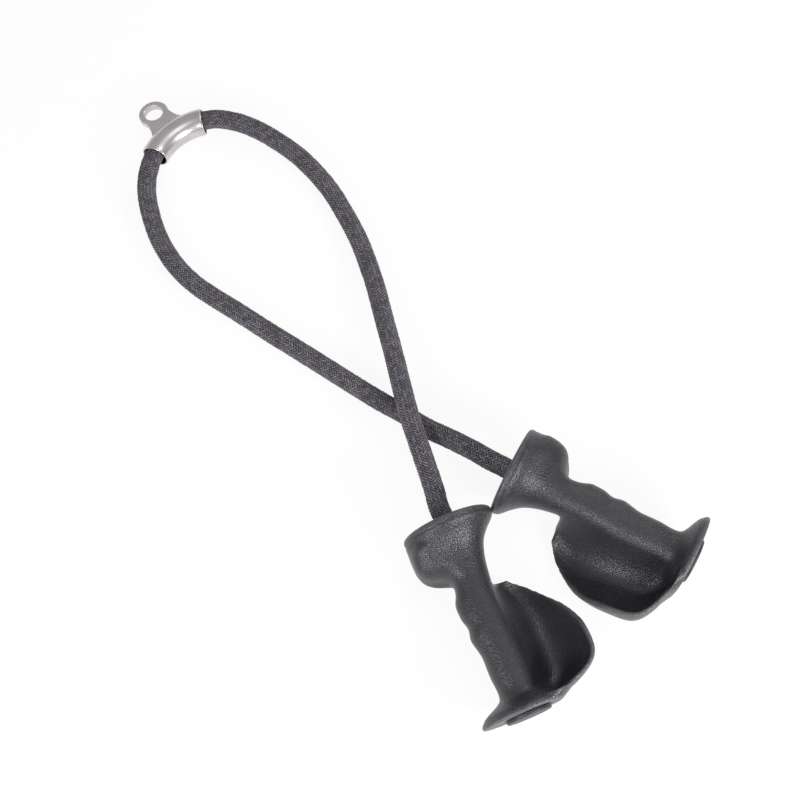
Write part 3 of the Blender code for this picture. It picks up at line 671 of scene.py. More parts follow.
def smooth_through(points, spacing):
    """Even steps along a centripetal curve, from the second of its points to the last but one."""
    dense = []
    for i in range(1, len(points) - 2):
        p0, p1, p2, p3 = points[i - 1:i + 3]
        t1 = (p1 - p0).length ** 0.5
        t2 = t1 + (p2 - p1).length ** 0.5
        t3 = t2 + (p3 - p2).length ** 0.5
        for k in range(ROUTE_PARTS):
            t = t1 + (t2 - t1) * k / ROUTE_PARTS
            a1 = p0.lerp(p1, t / t1)
            a2 = p1.lerp(p2, (t - t1) / (t2 - t1))
            a3 = p2.lerp(p3, (t - t2) / (t3 - t2))
            b1 = a1.lerp(a2, t / t2)
            b2 = a2.lerp(a3, (t - t1) / (t3 - t1))
            dense.append(b1.lerp(b2, (t - t1) / (t2 - t1)))
    dense.append(points[-2])
    lengths = np.cumsum([0.0] + [(b - a).length for a, b in zip(dense, dense[1:])]).tolist()
    even = places_along(0.0, lengths[-1], spacing)
    return [Vector(spot) for spot in zip(*(np.interp(even, lengths, axis) for axis in zip(*dense)))]


def held_point(angle, rope_radius):
    bend = SLEEVE_BEND_RADIUS + SLEEVE_BORE_RADIUS - rope_radius - FIT_GAP
    return hanger_matrix() @ Vector((bend * math.sin(angle), bend * math.cos(angle), 0))


def half_rope_path(letter, rope_radius):
    """Centreline from the middle of the sleeve to just inside a handle's bore."""
    side, axis = handle_matrices()[letter]
    arc = [held_point(side * ROPE_HELD_HALF_ARC * i / HELD_PARTS, rope_radius)
           for i in range(HELD_PARTS + 1)]
    route = [Vector(point) for point in LEG_ROUTES[letter]]
    entry, inside = (axis @ Vector((0, 0, depth)) for depth in (-ENTRY_STRAIGHT, ROPE_IN_BORE))
    return arc[:-1] + smooth_through(arc[-2:] + route + [entry, inside], ROPE_SPACING) + [inside]


def knit_tree(name):
    """Geometry Nodes: a core, painted near black as shade by the yarn, and leaning stitches set round
    a curve in mirrored columns.
    """
    tree, given, made = new_tree(
        name, "GeometryNodeTree",
        (("Geometry", "Geometry", None), ("Radius", "Float", 0.008), ("Columns", "Int", 16),
         ("Pitch", "Float", 0.0025), ("Lean", "Float", 0.6), ("Stitch length", "Float", 0.0042),
         ("Stitch width", "Float", 0.0029), ("Stitch height", "Float", 0.0024),
         ("Unevenness", "Float", 0.12), ("Twist", "Float", 2.0), ("Seed", "Int", 7),
         ("Yarn", "Material", None)),
        (("Geometry", "Geometry"),))
    index = result(tree, "GeometryNodeInputIndex")

    def jitter(seed_step):
        """Random number from -1 to 1 for each stitch."""
        return outputs_of(tree, "FunctionNodeRandomValue", {
            2: -1.0, 3: 1.0, "ID": index, "Seed": plus(tree, given["Seed"], seed_step)},
            data_type="FLOAT")[1]

    def turned_towards(start, end, angle, way=1.0):
        """Direction at an angle from the start towards the end, or away from it."""
        return vector(tree, "ADD", vector(tree, "SCALE", start, number(tree, "COSINE", angle)),
                      vector(tree, "SCALE", end, times(tree, number(tree, "SINE", angle), way)))

    def kept(geometry, label, value, data_type, domain):
        """Store a value on the geometry, where the yarn's material reads it."""
        node = tree.nodes.new("GeometryNodeStoreNamedAttribute")
        node.data_type = data_type
        node.domain = domain
        set_inputs(tree, node, {"Geometry": geometry, "Name": label})
        socket = next(each for each in node.inputs if each.name == "Value" and each.enabled)
        tree.links.new(value, socket)
        return node.outputs[0]

    # Each stitch's row, column and place on the curve
    length = result(tree, "GeometryNodeCurveLength", {0: given["Geometry"]})
    rows = number(tree, "ROUND", over(tree, length, given["Pitch"]))
    points = result(tree, "GeometryNodePoints", {"Count": times(tree, rows, given["Columns"])})
    row = number(tree, "FLOOR", over(tree, index, given["Columns"]))
    column = minus(tree, index, times(tree, row, given["Columns"]))
    odd = number(tree, "MODULO", column, 2.0)
    side = minus(tree, 1.0, times(tree, odd, 2.0))
    offset = plus(tree, 0.25, times(tree, odd, 0.5))
    along = times(tree, plus(tree, row, offset), over(tree, length, rows))
    sample = outputs_of(tree, "GeometryNodeSampleCurve", {
        "Curves": given["Geometry"], "Length": along}, mode="LENGTH")
    centre, tangent, normal = (sample[key] for key in ("Position", "Tangent", "Normal"))
    turn = plus(tree, over(tree, times(tree, column, math.tau), given["Columns"]),
                times(tree, along, given["Twist"]))
    radial = turned_towards(normal, vector(tree, "CROSS_PRODUCT", tangent, normal), turn)

    # Where the stitch sits and how it leans
    sink = minus(tree, given["Radius"], times(tree, given["Stitch height"], 0.5))
    wobble = times(tree, jitter(1), times(tree, given["Unevenness"], STITCH_WOBBLE))
    outwards = vector(tree, "SCALE", radial, plus(tree, sink, wobble))
    placed = result(tree, "GeometryNodeSetPosition", {
        "Geometry": points, "Position": vector(tree, "ADD", centre, outwards)})
    lean = plus(tree, given["Lean"], times(tree, jitter(2), given["Unevenness"]))
    heading = turned_towards(tangent, vector(tree, "CROSS_PRODUCT", radial, tangent), lean, side)
    rotation = result(tree, "FunctionNodeAxesToRotation", {0: radial, 1: heading},
                      primary_axis="Z", secondary_axis="X")

    # The stitch itself, with its own places and tone kept for the yarn
    grain = result(tree, "GeometryNodeMeshUVSphere", {"Segments": 6, "Rings": 4, "Radius": 1.0})
    own_place = result(tree, "GeometryNodeInputPosition")
    marked = kept(grain, "stitch_at", own_place, "FLOAT_VECTOR", "POINT")
    halves = {i: times(tree, given[f"Stitch {label}"], 0.5)
              for i, label in enumerate(("length", "width", "height"))}
    sized = result(tree, "GeometryNodeTransform", {
        "Geometry": marked, "Scale": result(tree, "ShaderNodeCombineXYZ", halves)})
    laid = result(tree, "GeometryNodeInstanceOnPoints", {
        "Points": placed, "Instance": sized, "Rotation": rotation})
    tone = plus(tree, 0.5, times(tree, jitter(3), STITCH_TONE_SPREAD))
    toned = kept(laid, "tone", tone, "FLOAT", "INSTANCE")

    ring = result(tree, "GeometryNodeCurvePrimitiveCircle", {
        "Resolution": CORE_FACES, "Radius": minus(tree, given["Radius"], given["Stitch height"])})
    core = result(tree, "GeometryNodeCurveToMesh", {
        "Curve": given["Geometry"], "Profile Curve": ring, "Fill Caps": True})
    together = tree.nodes.new("GeometryNodeJoinGeometry")
    for part in (core, toned):
        tree.links.new(part, together.inputs[0])
    real = result(tree, "GeometryNodeRealizeInstances", {0: together.outputs[0]})
    smooth = result(tree, "GeometryNodeSetShadeSmooth", {0: real})
    dressed = result(tree, "GeometryNodeSetMaterial", {
        "Geometry": smooth, "Material": given["Yarn"]})
    tree.links.new(dressed, made[0])
    return tree


def knitted(name, points, rope, yarn):
    """A stretch of knitted rope along a line of points, as a plain mesh."""
    curve = bpy.data.curves.new(name, "CURVE")
    curve.dimensions = "3D"
    spline = curve.splines.new("POLY")
    spline.points.add(len(points) - 1)
    for spot, point in zip(spline.points, points):
        spot.co = (*point, 1.0)
    guide = add_piece(name + "_guide", curve)
    cover = "knitted rope cover"
    modifier = guide.modifiers.new("Knit", "NODES")
    modifier.node_group = bpy.data.node_groups.get(cover) or knit_tree(cover)
    column_width = math.pi * rope.diameter / rope.columns
    values = {
        "Radius": rope.diameter / 2, "Columns": rope.columns, "Pitch": rope.pitch, "Lean": rope.lean,
        "Stitch length": column_width / math.sin(rope.lean) * STITCH_OVERLAP_SHARE,
        "Stitch width": rope.pitch * math.sin(rope.lean) * STITCH_FULLNESS_SHARE, "Yarn": yarn}
    for item in modifier.node_group.interface.items_tree:
        if item.in_out == "INPUT" and item.name in values:
            modifier[item.identifier] = values[item.name]
    mesh = bake(guide)
    drop(guide)
    mesh.name = name
    return add_piece(name, mesh, yarn)


class ROPE_OT_knit(bpy.types.Operator):
    """Knit both halves of the rope and the rope ends inside the handles"""
    bl_idname = "triceps_rope.knit"
    bl_label = "Braided rope"

    def execute(self, context):
        rope = context.scene.rope_settings
        yarn = braided_yarn(rope)
        radius = rope.diameter / 2
        end = SHOULDER_DEPTH + WASHER_THICKNESS + FERRULE_LENGTH + 2 * FIT_GAP - ROPE_END_GAP
        for letter, (turn, axis) in handle_matrices().items():
            path = half_rope_path(letter, radius)
            half = knitted(f"rope_half_{letter}", path, rope, yarn)
            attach(half, "rope")
            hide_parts(f"rope_leg_{letter}", "rope_in_sleeve")
            stretch = [axis @ Vector((0, 0, place))
                       for place in places_along(ROPE_IN_BORE + FIT_GAP, end, STUB_SPACING)]
            hidden = knitted(f"rope_stub_{letter}", stretch, rope, yarn)
            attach(hidden, "rope")
            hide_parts(f"rope_end_{letter}")
        return {"FINISHED"}


# Handles

def spool_section(place, side, faces):
    """Section of the flange, lobe, column and base plate at one share of the length."""
    palm = follow(PALM_SIDE_SHARES, place) * FLANGE_RADIUS
    half_height = follow(HALF_HEIGHT_SHARES, place) * FLANGE_RADIUS
    squareness = follow(FINGER_SQUARENESS_SHARES, place)
    slant = follow(LOBE_SLANT_SHARES, place)
    ring = []
    for angle in full_turn(faces):
        across, up = math.cos(angle), math.sin(angle)
        if across > 0:
            reach, exponent = palm, 1.0
        else:
            reach = follow(FINGER_SIDE_SHARES, place + slant * up) * FLANGE_RADIUS
            exponent = 2 / squareness
        ring.append((side * reach * power(across, exponent), half_height * power(up, exponent),
                     place * HANDLE_LENGTH))
    return ring


def follow_evenly(shares, place):
    """Average a table over a short stretch, for an outline without bumps."""
    steps = range(-EVENING_STEPS, EVENING_STEPS + 1)
    places = [place + EVENING_SHARE * i / EVENING_STEPS for i in steps]
    return sum(follow(shares, each) for each in places) / len(places)


def scoop_across(place, share):
    """Distance from the axis at a share of the scoop's width: -1 is its root, 1 its lip."""
    reach = follow_evenly(SCOOP_PALM_SHARES, place) * SCOOP_REACH
    return (reach + SCOOP_ROOT) / 2 + (reach - SCOOP_ROOT) / 2 * share


def scoop_span(place, above):
    """Height of the scoop's widest line, and from there to its top or its underside."""
    widest = follow_evenly(SCOOP_WIDEST_SHARES, place) * AXIS_HEIGHT
    table = SCOOP_TOP_SHARES if above else SCOOP_UNDERSIDE_SHARES
    return widest, abs(follow_evenly(table, place) * AXIS_HEIGHT - widest)


def scoop_section(place, side, faces):
    """Section of the scoop's outer skin, closed over the top."""
    ring = []
    for angle in full_turn(faces):
        across = power(math.cos(angle), 2 / SCOOP_SQUARENESS)
        up = power(math.sin(angle), 2 / SCOOP_SQUARENESS)
        widest, span = scoop_span(place, up > 0)
        ring.append((side * scoop_across(place, across), widest + span * up, place * HANDLE_LENGTH))
    return ring


def rim_point(place):
    """Inner edge of the scoop's rim: across and up."""
    up = follow_evenly(RIM_HEIGHT_SHARES, place) * AXIS_HEIGHT
    widest, span = scoop_span(place, up > follow_evenly(SCOOP_WIDEST_SHARES, place) * AXIS_HEIGHT)
    rise = min(1.0, abs(up - widest) / span)
    swell = (1 - rise ** SCOOP_SQUARENESS) ** (1 / SCOOP_SQUARENESS)
    return scoop_across(place, swell) - RIM_THICKNESS, up


def bowl_rings(side):
    """Cutter above the bowl: a curve from the column down to the bowl's floor and up to the rim."""
    far = SCOOP_REACH * 2
    start, end = RIM_HEIGHT_SHARES[0][0] * HANDLE_LENGTH, HANDLE_LENGTH - BASE_THICKNESS
    rings = []
    for depth in places_along(start, end, BOWL_RING_SPACING):
        place = depth / HANDLE_LENGTH
        into_fillet = max(0.0, depth - (end - BOWL_END_FILLET)) / BOWL_END_FILLET
        closing = BOWL_END_FILLET * (1 - math.sqrt(max(0.0, 1 - into_fillet ** 2)))
        edge = follow(PALM_SIDE_SHARES, place) * FLANGE_RADIUS * math.cos(BOWL_EDGE_ANGLE)
        edge_up = follow(HALF_HEIGHT_SHARES, place) * FLANGE_RADIUS * math.sin(BOWL_EDGE_ANGLE)
        rim_across, rim_up = rim_point(place)
        rim_across = max(rim_across - closing / 2, edge + RIM_THICKNESS)
        floor = follow_evenly(BOWL_FLOOR_SHARES, place) * AXIS_HEIGHT + closing
        low = (8 * floor - edge_up - rim_up) / 6
        width = rim_across - edge
        near = edge + BOWL_COLUMN_SIDE_SHARE * width
        far_side = rim_across - BOWL_RIM_SIDE_SHARE * width
        ring = [(-edge, edge_up)]
        for i in range(BOWL_CURVE_STEPS + 1):
            t = i / BOWL_CURVE_STEPS
            a, b, c, d = (1 - t) ** 3, 3 * t * (1 - t) ** 2, 3 * t * t * (1 - t), t ** 3
            ring.append((a * edge + b * near + c * far_side + d * rim_across,
                         a * edge_up + (b + c) * low + d * rim_up))
        ring += [(far, rim_up), (far, far), (-edge, far)]
        rings.append([(side * x, y, depth) for x, y in ring])
    return rings


def cut_or_join(piece, other, operation):
    modifier = piece.modifiers.new(operation.title(), "BOOLEAN")
    modifier.operation = operation
    modifier.solver = "EXACT"
    modifier.object = other


def read_rows(items, key, width, kind=float):
    """A table with one row for each item, such as the places of a mesh's points."""
    values = np.empty(len(items) * width, dtype=kind)
    items.foreach_get(key, values)
    return values.reshape(-1, width)


def mesh_arrays(mesh):
    return read_rows(mesh.vertices, "co", 3), read_rows(mesh.edges, "vertices", 2, np.int64)


def vertex_normals(mesh):
    return read_rows(mesh.vertex_normals, "vector", 3)


def move_points(mesh, points):
    mesh.vertices.foreach_set("co", points.ravel())
    mesh.update()


def neighbour_mean(values, edges):
    """Mean of the values at each point's neighbours, for numbers or rows of numbers."""
    count = len(values)
    ends = np.concatenate([edges[:, 0], edges[:, 1]])
    others = np.concatenate([edges[:, 1], edges[:, 0]])
    degree = np.maximum(np.bincount(ends, minlength=count), 1)
    means = [np.bincount(ends, column[others], minlength=count) / degree
             for column in values.reshape(count, -1).T]
    return np.stack(means, axis=1).reshape(values.shape)


def round_corners(mesh, facet, hollow_radius, edge_radius):
    """Ease inner corners and outer edges until none is sharper than its radius."""
    points, edges = mesh_arrays(mesh)
    hollow_limit = facet ** 2 / (4 * hollow_radius)
    edge_limit = facet ** 2 / (4 * edge_radius)
    for _ in range(ROUNDING_STEPS):
        move_points(mesh, points)
        normals = vertex_normals(mesh)
        pull = neighbour_mean(points, edges) - points
        bend = (pull * normals).sum(axis=1)
        ease = np.maximum(bend - hollow_limit, 0) + np.minimum(bend + edge_limit, 0)
        slide = (pull - bend[:, None] * normals) * SLIDING_SHARE
        points = points + normals * (ease * ROUNDING_SHARE)[:, None] + slide
    for _ in range(LAST_STEPS):
        points = points + (neighbour_mean(points, edges) - points) / 2
    move_points(mesh, points)


def ease_wall(mesh, side):
    """Smooth the scoop's wall where it grows out of the column and runs into the base plate."""
    points, edges = mesh_arrays(mesh)
    place, reach = points[:, 2] / HANDLE_LENGTH, side * points[:, 0] / FLANGE_RADIUS
    for start, end, clear, steps in EASED_WALL_SHARES:
        along = np.clip(np.minimum(place - start, end - place) / FADE_SHARE, 0, 1)
        weight = (along * np.clip((reach - clear) / FADE_SHARE, 0, 1))[:, None] / 2
        for _ in range(steps):
            points = points + (neighbour_mean(points, edges) - points) * weight
    move_points(mesh, points)


def press_lips(mesh):
    """Press the fine lines that set off the flange's lip and the base plate's lip."""
    points, _ = mesh_arrays(mesh)
    outward = np.hypot(points[:, 0], points[:, 1]) / FLANGE_RADIUS
    for place, width, press, clear_share in LIP_LINES:
        line = np.exp(-((points[:, 2] - place) / width) ** 2)
        fade = np.clip((outward - clear_share) / FADE_SHARE, 0, 1)
        points = points - vertex_normals(mesh) * (line * fade * press)[:, None]
    move_points(mesh, points)


def mark_crests(mesh, facet):
    """Store how sharply each point stands out, for the rubbed edges and their painted highlight."""
    points, edges = mesh_arrays(mesh)
    bend = -((neighbour_mean(points, edges) - points) * vertex_normals(mesh)).sum(axis=1)
    crest = np.clip(bend / facet ** 2 * CREST_GAIN, 0, 1)
    for _ in range(CREST_SPREAD_STEPS):
        crest = (crest + neighbour_mean(crest, edges)) / 2
    mesh.attributes.new("crest", "FLOAT", "POINT").data.foreach_set("value", crest)


def bore_profile():
    bore = HANDLE_BORE_DIAMETER / 2
    counterbore = COUNTERBORE_DIAMETER / 2
    seat = PLUG_HEAD_DIAMETER / 2 + PLUG_SEAT_MARGIN
    return ((0, -CUT_OVERRUN), (bore + BORE_MOUTH_CHAMFER + CUT_OVERRUN, -CUT_OVERRUN),
            (bore, BORE_MOUTH_CHAMFER), (bore, SHOULDER_DEPTH), (counterbore, SHOULDER_DEPTH),
            (counterbore, HANDLE_LENGTH - FIT_GAP), (seat, HANDLE_LENGTH - FIT_GAP),
            (seat, HANDLE_LENGTH + CUT_OVERRUN), (0, HANDLE_LENGTH + CUT_OVERRUN))


def lofted_part(name, section, start, side, faces=96):
    """Piece lofted through its sections, from its start to the handle's end."""
    places = places_along(start, 1.0, SECTION_SPACING_SHARE)
    return add_piece(name, loft(name, [section(place, side, faces) for place in places]))


def moulding(letter, side, matrix, shape):
    """One handle: spool and scoop fused, rounded over and bored."""
    scoop = lofted_part("scoop", scoop_section, SCOOP_PALM_SHARES[0][0], side)
    bowl = add_piece("bowl", loft("bowl", bowl_rings(side)))
    cut_or_join(scoop, bowl, "DIFFERENCE")
    spool = lofted_part("spool", spool_section, 0.0, side)
    cut_or_join(spool, scoop, "UNION")
    remesh = spool.modifiers.new("Remesh", "REMESH")
    remesh.mode = "VOXEL"
    remesh.voxel_size = shape.facet
    remesh.use_smooth_shade = True
    rough = bake(spool)
    drop(spool, scoop, bowl)
    round_corners(rough, shape.facet, shape.hollow_round, shape.edge_round)
    ease_wall(rough, side)
    press_lips(rough)
    body = add_piece("body", rough)
    bore = add_piece("bore", turned("bore", bore_profile()))
    cut_or_join(body, bore, "DIFFERENCE")
    mesh = bake(body)
    drop(body, bore)
    mark_crests(mesh, shape.facet)
    mesh.transform(matrix)
    mesh.shade_smooth()
    mesh.set_sharp_from_angle(angle=HANDLE_SHARP_ANGLE)
    mesh.name = f"moulded_handle_{letter}"
    return mesh


class ROPE_OT_handles(bpy.types.Operator):
    """Mould the two handles, mirror images of each other"""
    bl_idname = "triceps_rope.handles"
    bl_label = "Moulded handles"

    def execute(self, context):
        shape = context.scene.handle_settings
        rubber = moulded_rubber("pebbled black rubber", tuple(shape.rubber_colour),
                                tuple(shape.worn_and_highlight_colour), shape.grain)
        for letter, (side, matrix) in handle_matrices().items():
            mesh = moulding(letter, side, matrix, shape)
            piece = add_piece(f"moulded_handle_{letter}", mesh, rubber)
            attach(piece, f"handle_{letter}")
            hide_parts(f"handle_{letter}")
        return {"FINISHED"}


def plug_profile():
    """Stem, chamfered seat, rounded head and shallow ring of a plug's face."""
    stem, head = COUNTERBORE_DIAMETER / 2 - FIT_GAP, PLUG_HEAD_DIAMETER / 2
    low, face = HANDLE_LENGTH - PLUG_STEM_LENGTH, HANDLE_LENGTH + PLUG_HEAD_HEIGHT
    edge = PLUG_EDGE_ROUND
    profile = [(0, low), (stem, low), (stem, HANDLE_LENGTH), (head - PLUG_CHAMFER, HANDLE_LENGTH),
               (head, HANDLE_LENGTH + PLUG_CHAMFER)]
    for i in range(PLUG_EDGE_STEPS + 1):
        angle = math.pi / 2 * i / PLUG_EDGE_STEPS
        profile.append((head - edge + edge * math.cos(angle), face - edge + edge * math.sin(angle)))
    return profile + [(head * share, face - depth) for share, depth in PLUG_DISH]


class ROPE_OT_plugs(bpy.types.Operator):
    """Turn the round caps that close the handles' ends"""
    bl_idname = "triceps_rope.plugs"
    bl_label = "End plugs"

    def execute(self, context):
        shape = context.scene.handle_settings
        rubber = moulded_rubber("plug rubber", tint(shape.rubber_colour, PLUG_TINT),
                                tuple(shape.worn_and_highlight_colour), shape.grain * PLUG_GRAIN_SHARE,
                                strength=0.2, roughness=0.4)
        for letter, (_, matrix) in handle_matrices().items():
            mesh = turned(f"plug_cap_{letter}", plug_profile())
            mesh.set_sharp_from_angle(angle=PLUG_SHARP_ANGLE)
            mesh.transform(matrix)
            piece = add_piece(f"plug_cap_{letter}", mesh, rubber)
            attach(piece, f"handle_{letter}")
            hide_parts(f"end_plug_{letter}")
        return {"FINISHED"}


class ROPE_OT_fittings(bpy.types.Operator):
    """Dress the thrust washers and ferrules inside the handles"""
    bl_idname = "triceps_rope.fittings"
    bl_label = "Washers and ferrules"

    def execute(self, context):
        steel = cast_steel("machined steel", MACHINED_STEEL_COLOUR,
                           roughness=0.36, grain_strength=0.15, smears=0.12)
        for node in ("thrust_washer_a", "thrust_washer_b", "ferrule_a", "ferrule_b"):
            for spot in bpy.data.objects[node].material_slots:
                spot.material = steel
        return {"FINISHED"}


# Hanger

def ring_on_bend(angle, bend, across, rise, faces, height=0.0):
    """Oval ring at one angle of the sleeve's bend."""
    ring = []
    for turn in full_turn(faces):
        reach = bend + across * math.cos(turn)
        up = height + rise * math.sin(turn)
        ring.append((reach * math.sin(angle), reach * math.cos(angle), up))
    return ring


def sleeve_mesh(faces=72, bends=40, lip_steps=6):
    """Bent tube with rolled mouths, as one closed skin."""
    wall, half_arc = SLEEVE_WALL / 2, SLEEVE_HALF_ARC
    middle = SLEEVE_RADIUS - wall
    lip = wall / SLEEVE_BEND_RADIUS
    profile = [((half_arc - lip) * (2 * i / bends - 1), SLEEVE_RADIUS) for i in range(bends + 1)]
    profile += [(half_arc - lip + lip * math.sin(turn), middle + wall * math.cos(turn))
                for turn in (math.pi * i / lip_steps for i in range(1, lip_steps))]
    profile += [(-angle, 2 * middle - radius) for angle, radius in profile]
    rings = [ring_on_bend(angle, SLEEVE_BEND_RADIUS, radius, radius, faces)
             for angle, radius in profile]
    bm = bmesh.new()
    loops = [[bm.verts.new(point) for point in ring] for ring in rings]
    skin(bm, loops + loops[:1])
    return mesh_from("sleeve", bm)


def plate_outline(arc_steps=40, flare_steps=16, root_steps=16):
    """Closed outline of the eye plate; its root is an arc inside the sleeve's wall."""
    half_root, half_waist = PLATE_ROOT_WIDTH / 2, PLATE_WAIST_WIDTH / 2
    leave = math.asin(half_waist / EYE_RING_RADIUS)
    half = []
    for i in range(arc_steps + 1):
        angle = (math.pi - leave) * i / arc_steps
        x, y = EYE_RING_RADIUS * math.sin(angle), EYE_RING_RADIUS * math.cos(angle)
        half.append((x, EYE_CENTRE + y))
    root = SLEEVE_BEND_RADIUS + (SLEEVE_RADIUS + SLEEVE_BORE_RADIUS) / 2 - FIT_GAP
    root_y = math.sqrt(root ** 2 - half_root ** 2)
    waist_y = half[-1][1]
    for i in range(1, flare_steps + 1):
        t = i / flare_steps
        x = half_waist + (half_root - half_waist) * t ** 2
        half.append((x, waist_y + (root_y - waist_y) * t))
    spread_angle = math.asin(half_root / root)
    arc = [(root * math.sin(angle), root * math.cos(angle))
           for angle in (spread_angle * (1 - 2 * i / root_steps) for i in range(1, root_steps))]
    return half + arc + [(-x, y) for x, y in reversed(half[1:])]


def inset_loop(outline, amount):
    """Move a clockwise outline inwards along its corner normals."""
    moved = []
    for i in range(len(outline)):
        before, here, after = (Vector(outline[j % len(outline)]) for j in (i - 1, i, i + 1))
        line = ((here - before).normalized() + (after - here).normalized()).normalized()
        moved.append(tuple(here + Vector((line.y, -line.x)) * amount))
    return moved


def eye_plate_mesh(edge, steps=5, eye_faces=64):
    """Flat plate with rounded edges round its outline and round the eye."""
    half, hole = PLATE_THICKNESS / 2, EYE_HOLE_DIAMETER / 2
    outline = plate_outline()
    turns = [math.pi / 2 * i / steps for i in range(steps + 1)]
    levels = [(edge * (1 - math.sin(turn)), -half + edge * (1 - math.cos(turn))) for turn in turns]
    levels += [(inset, -height) for inset, height in reversed(levels)]
    bm = bmesh.new()
    outer, inner = [], []
    for inset, height in levels:
        outer.append([bm.verts.new((x, y, height)) for x, y in inset_loop(outline, inset)])
    for inset, height in levels:
        inner.append([bm.verts.new(((hole + inset) * math.sin(turn),
                                    EYE_CENTRE + (hole + inset) * math.cos(turn), height))
                      for turn in full_turn(eye_faces)])
    skin(bm, outer)
    skin(bm, inner)
    for level in (0, -1):
        rim = [bm.edges.get((loop[i - 1], loop[i]))
               for loop in (outer[level], inner[level]) for i in range(len(loop))]
        bmesh.ops.triangle_fill(bm, use_beauty=True, use_dissolve=False, edges=rim)
    mesh = mesh_from("eye_plate", bm)
    mesh.set_sharp_from_angle(angle=HANGER_SHARP_ANGLE)
    return mesh


def root_lines_mesh(bends=28, faces=8):
    """Fine raised lines on each face of the plate, just outside the sleeve."""
    surface = SLEEVE_BEND_RADIUS + SLEEVE_RADIUS
    half_arc = math.asin(PLATE_WAIST_WIDTH * ROOT_LINE_SPAN_SHARE / surface)
    bm = bmesh.new()
    for reach, radius in ROOT_LINES:
        for side in (1, -1):
            rings = []
            for k in range(bends + 1):
                share = 2 * k / bends - 1
                size = radius * min(1.0, 4 * (1 - abs(share)) + ROOT_LINE_END_SHARE)
                rings.append(ring_on_bend(
                    half_arc * share, surface + reach, size, size * ROOT_LINE_RISE_SHARE, faces,
                    height=side * PLATE_THICKNESS / 2))
            add_loft(bm, rings)
    return mesh_from("root_lines", bm)


def join_meshes(name, parts):
    """Join (mesh, material) parts into one mesh with a slot for each material."""
    bm = bmesh.new()
    materials = []
    for mesh, material in parts:
        if material not in materials:
            materials.append(material)
        start = len(bm.faces)
        bm.from_mesh(mesh)
        bm.faces.ensure_lookup_table()
        for face in bm.faces[start:]:
            face.material_index = materials.index(material)
            face.smooth = True
    joined = bpy.data.meshes.new(name)
    bm.to_mesh(joined)
    bm.free()
    for material in materials:
        joined.materials.append(material)
    return joined


class ROPE_OT_hanger(bpy.types.Operator):
    """Build the cast hanger: bent sleeve, eye plate and the fine lines at its root"""
    bl_idname = "triceps_rope.hanger"
    bl_label = "Cast hanger"

    def execute(self, context):
        shape = context.scene.hanger_settings
        colour = tuple(shape.steel_colour)
        satin = cast_steel("satin steel", tint(colour, SATIN_TINT),
                           roughness=0.42, grain_strength=0.5, smears=0.12)
        polished = cast_steel("polished steel", colour,
                              roughness=0.31, grain_strength=0.12, smears=0.14)
        # Painted shade: the bore's steel is rough and darkened far below the steel's colour.
        shaded_bore = cast_steel("bore with painted shade", tint(colour, BORE_SHADE_TINT),
                                roughness=0.6, grain_strength=0.5, smears=0.1)
        mesh = join_meshes("cast_hanger", [
            (sleeve_mesh(), polished), (eye_plate_mesh(shape.edge), satin),
            (root_lines_mesh(), polished)])
        # Faces inside the bore take the steel with painted shade.
        mesh.materials.append(shaded_bore)
        for face in mesh.polygons:
            x, y, height = face.center
            from_bend = math.hypot(math.hypot(x, y) - SLEEVE_BEND_RADIUS, height)
            if from_bend < SLEEVE_BORE_RADIUS + FIT_GAP:
                face.material_index = len(mesh.materials) - 1
        mesh.set_sharp_from_angle(angle=HANGER_SHARP_ANGLE)
        mesh.transform(hanger_matrix())
        piece = add_piece("cast_hanger", mesh)
        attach(piece, "hanger")
        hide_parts("hanger")
        return {"FINISHED"}


# Stage

def floor_material(colour):
    """White sweep that keeps the object's soft shadow."""
    material, tree, shader = new_shader("white sweep")
    paper = outputs_of(tree, "ShaderNodeTexNoise", {"Scale": 30.0, "Detail": 2.0})["Fac"]
    set_inputs(tree, shader, {
        "Base Color": blend_colours(tree, times(tree, paper, PAPER_MOTTLE_SHARE), colour, WHITE[:3]),
        "Roughness": 0.9,
        "Specular IOR Level": 0.1})
    light = outputs_of(tree, "ShaderNodeLightPath")
    mirrored = number(tree, "MAXIMUM", light["Is Glossy Ray"], light["Is Transmission Ray"])
    seen = number(tree, "MAXIMUM", light["Is Camera Ray"], mirrored)
    glow = result(tree, "ShaderNodeEmission", {"Color": WHITE, "Strength": 1.0})
    mix = result(tree, "ShaderNodeMixShader", {
        0: times(tree, seen, FLOOR_GLOW_SHARE), 1: shader.outputs[0], 2: glow})
    tree.links.new(mix, tree.nodes["Material Output"].inputs["Surface"])
    return material


def add_lamp(name, place, aim, size, watts, colour):
    lamp = bpy.data.lights.new(name, "AREA")
    lamp.shape = "RECTANGLE"
    lamp.size, lamp.size_y = size
    lamp.energy = watts
    lamp.color = colour
    holder = add_piece(name, lamp)
    holder.location = place
    holder.rotation_euler = (Vector(aim) - Vector(place)).to_track_quat("-Z", "Y").to_euler()
    holder.visible_camera = False


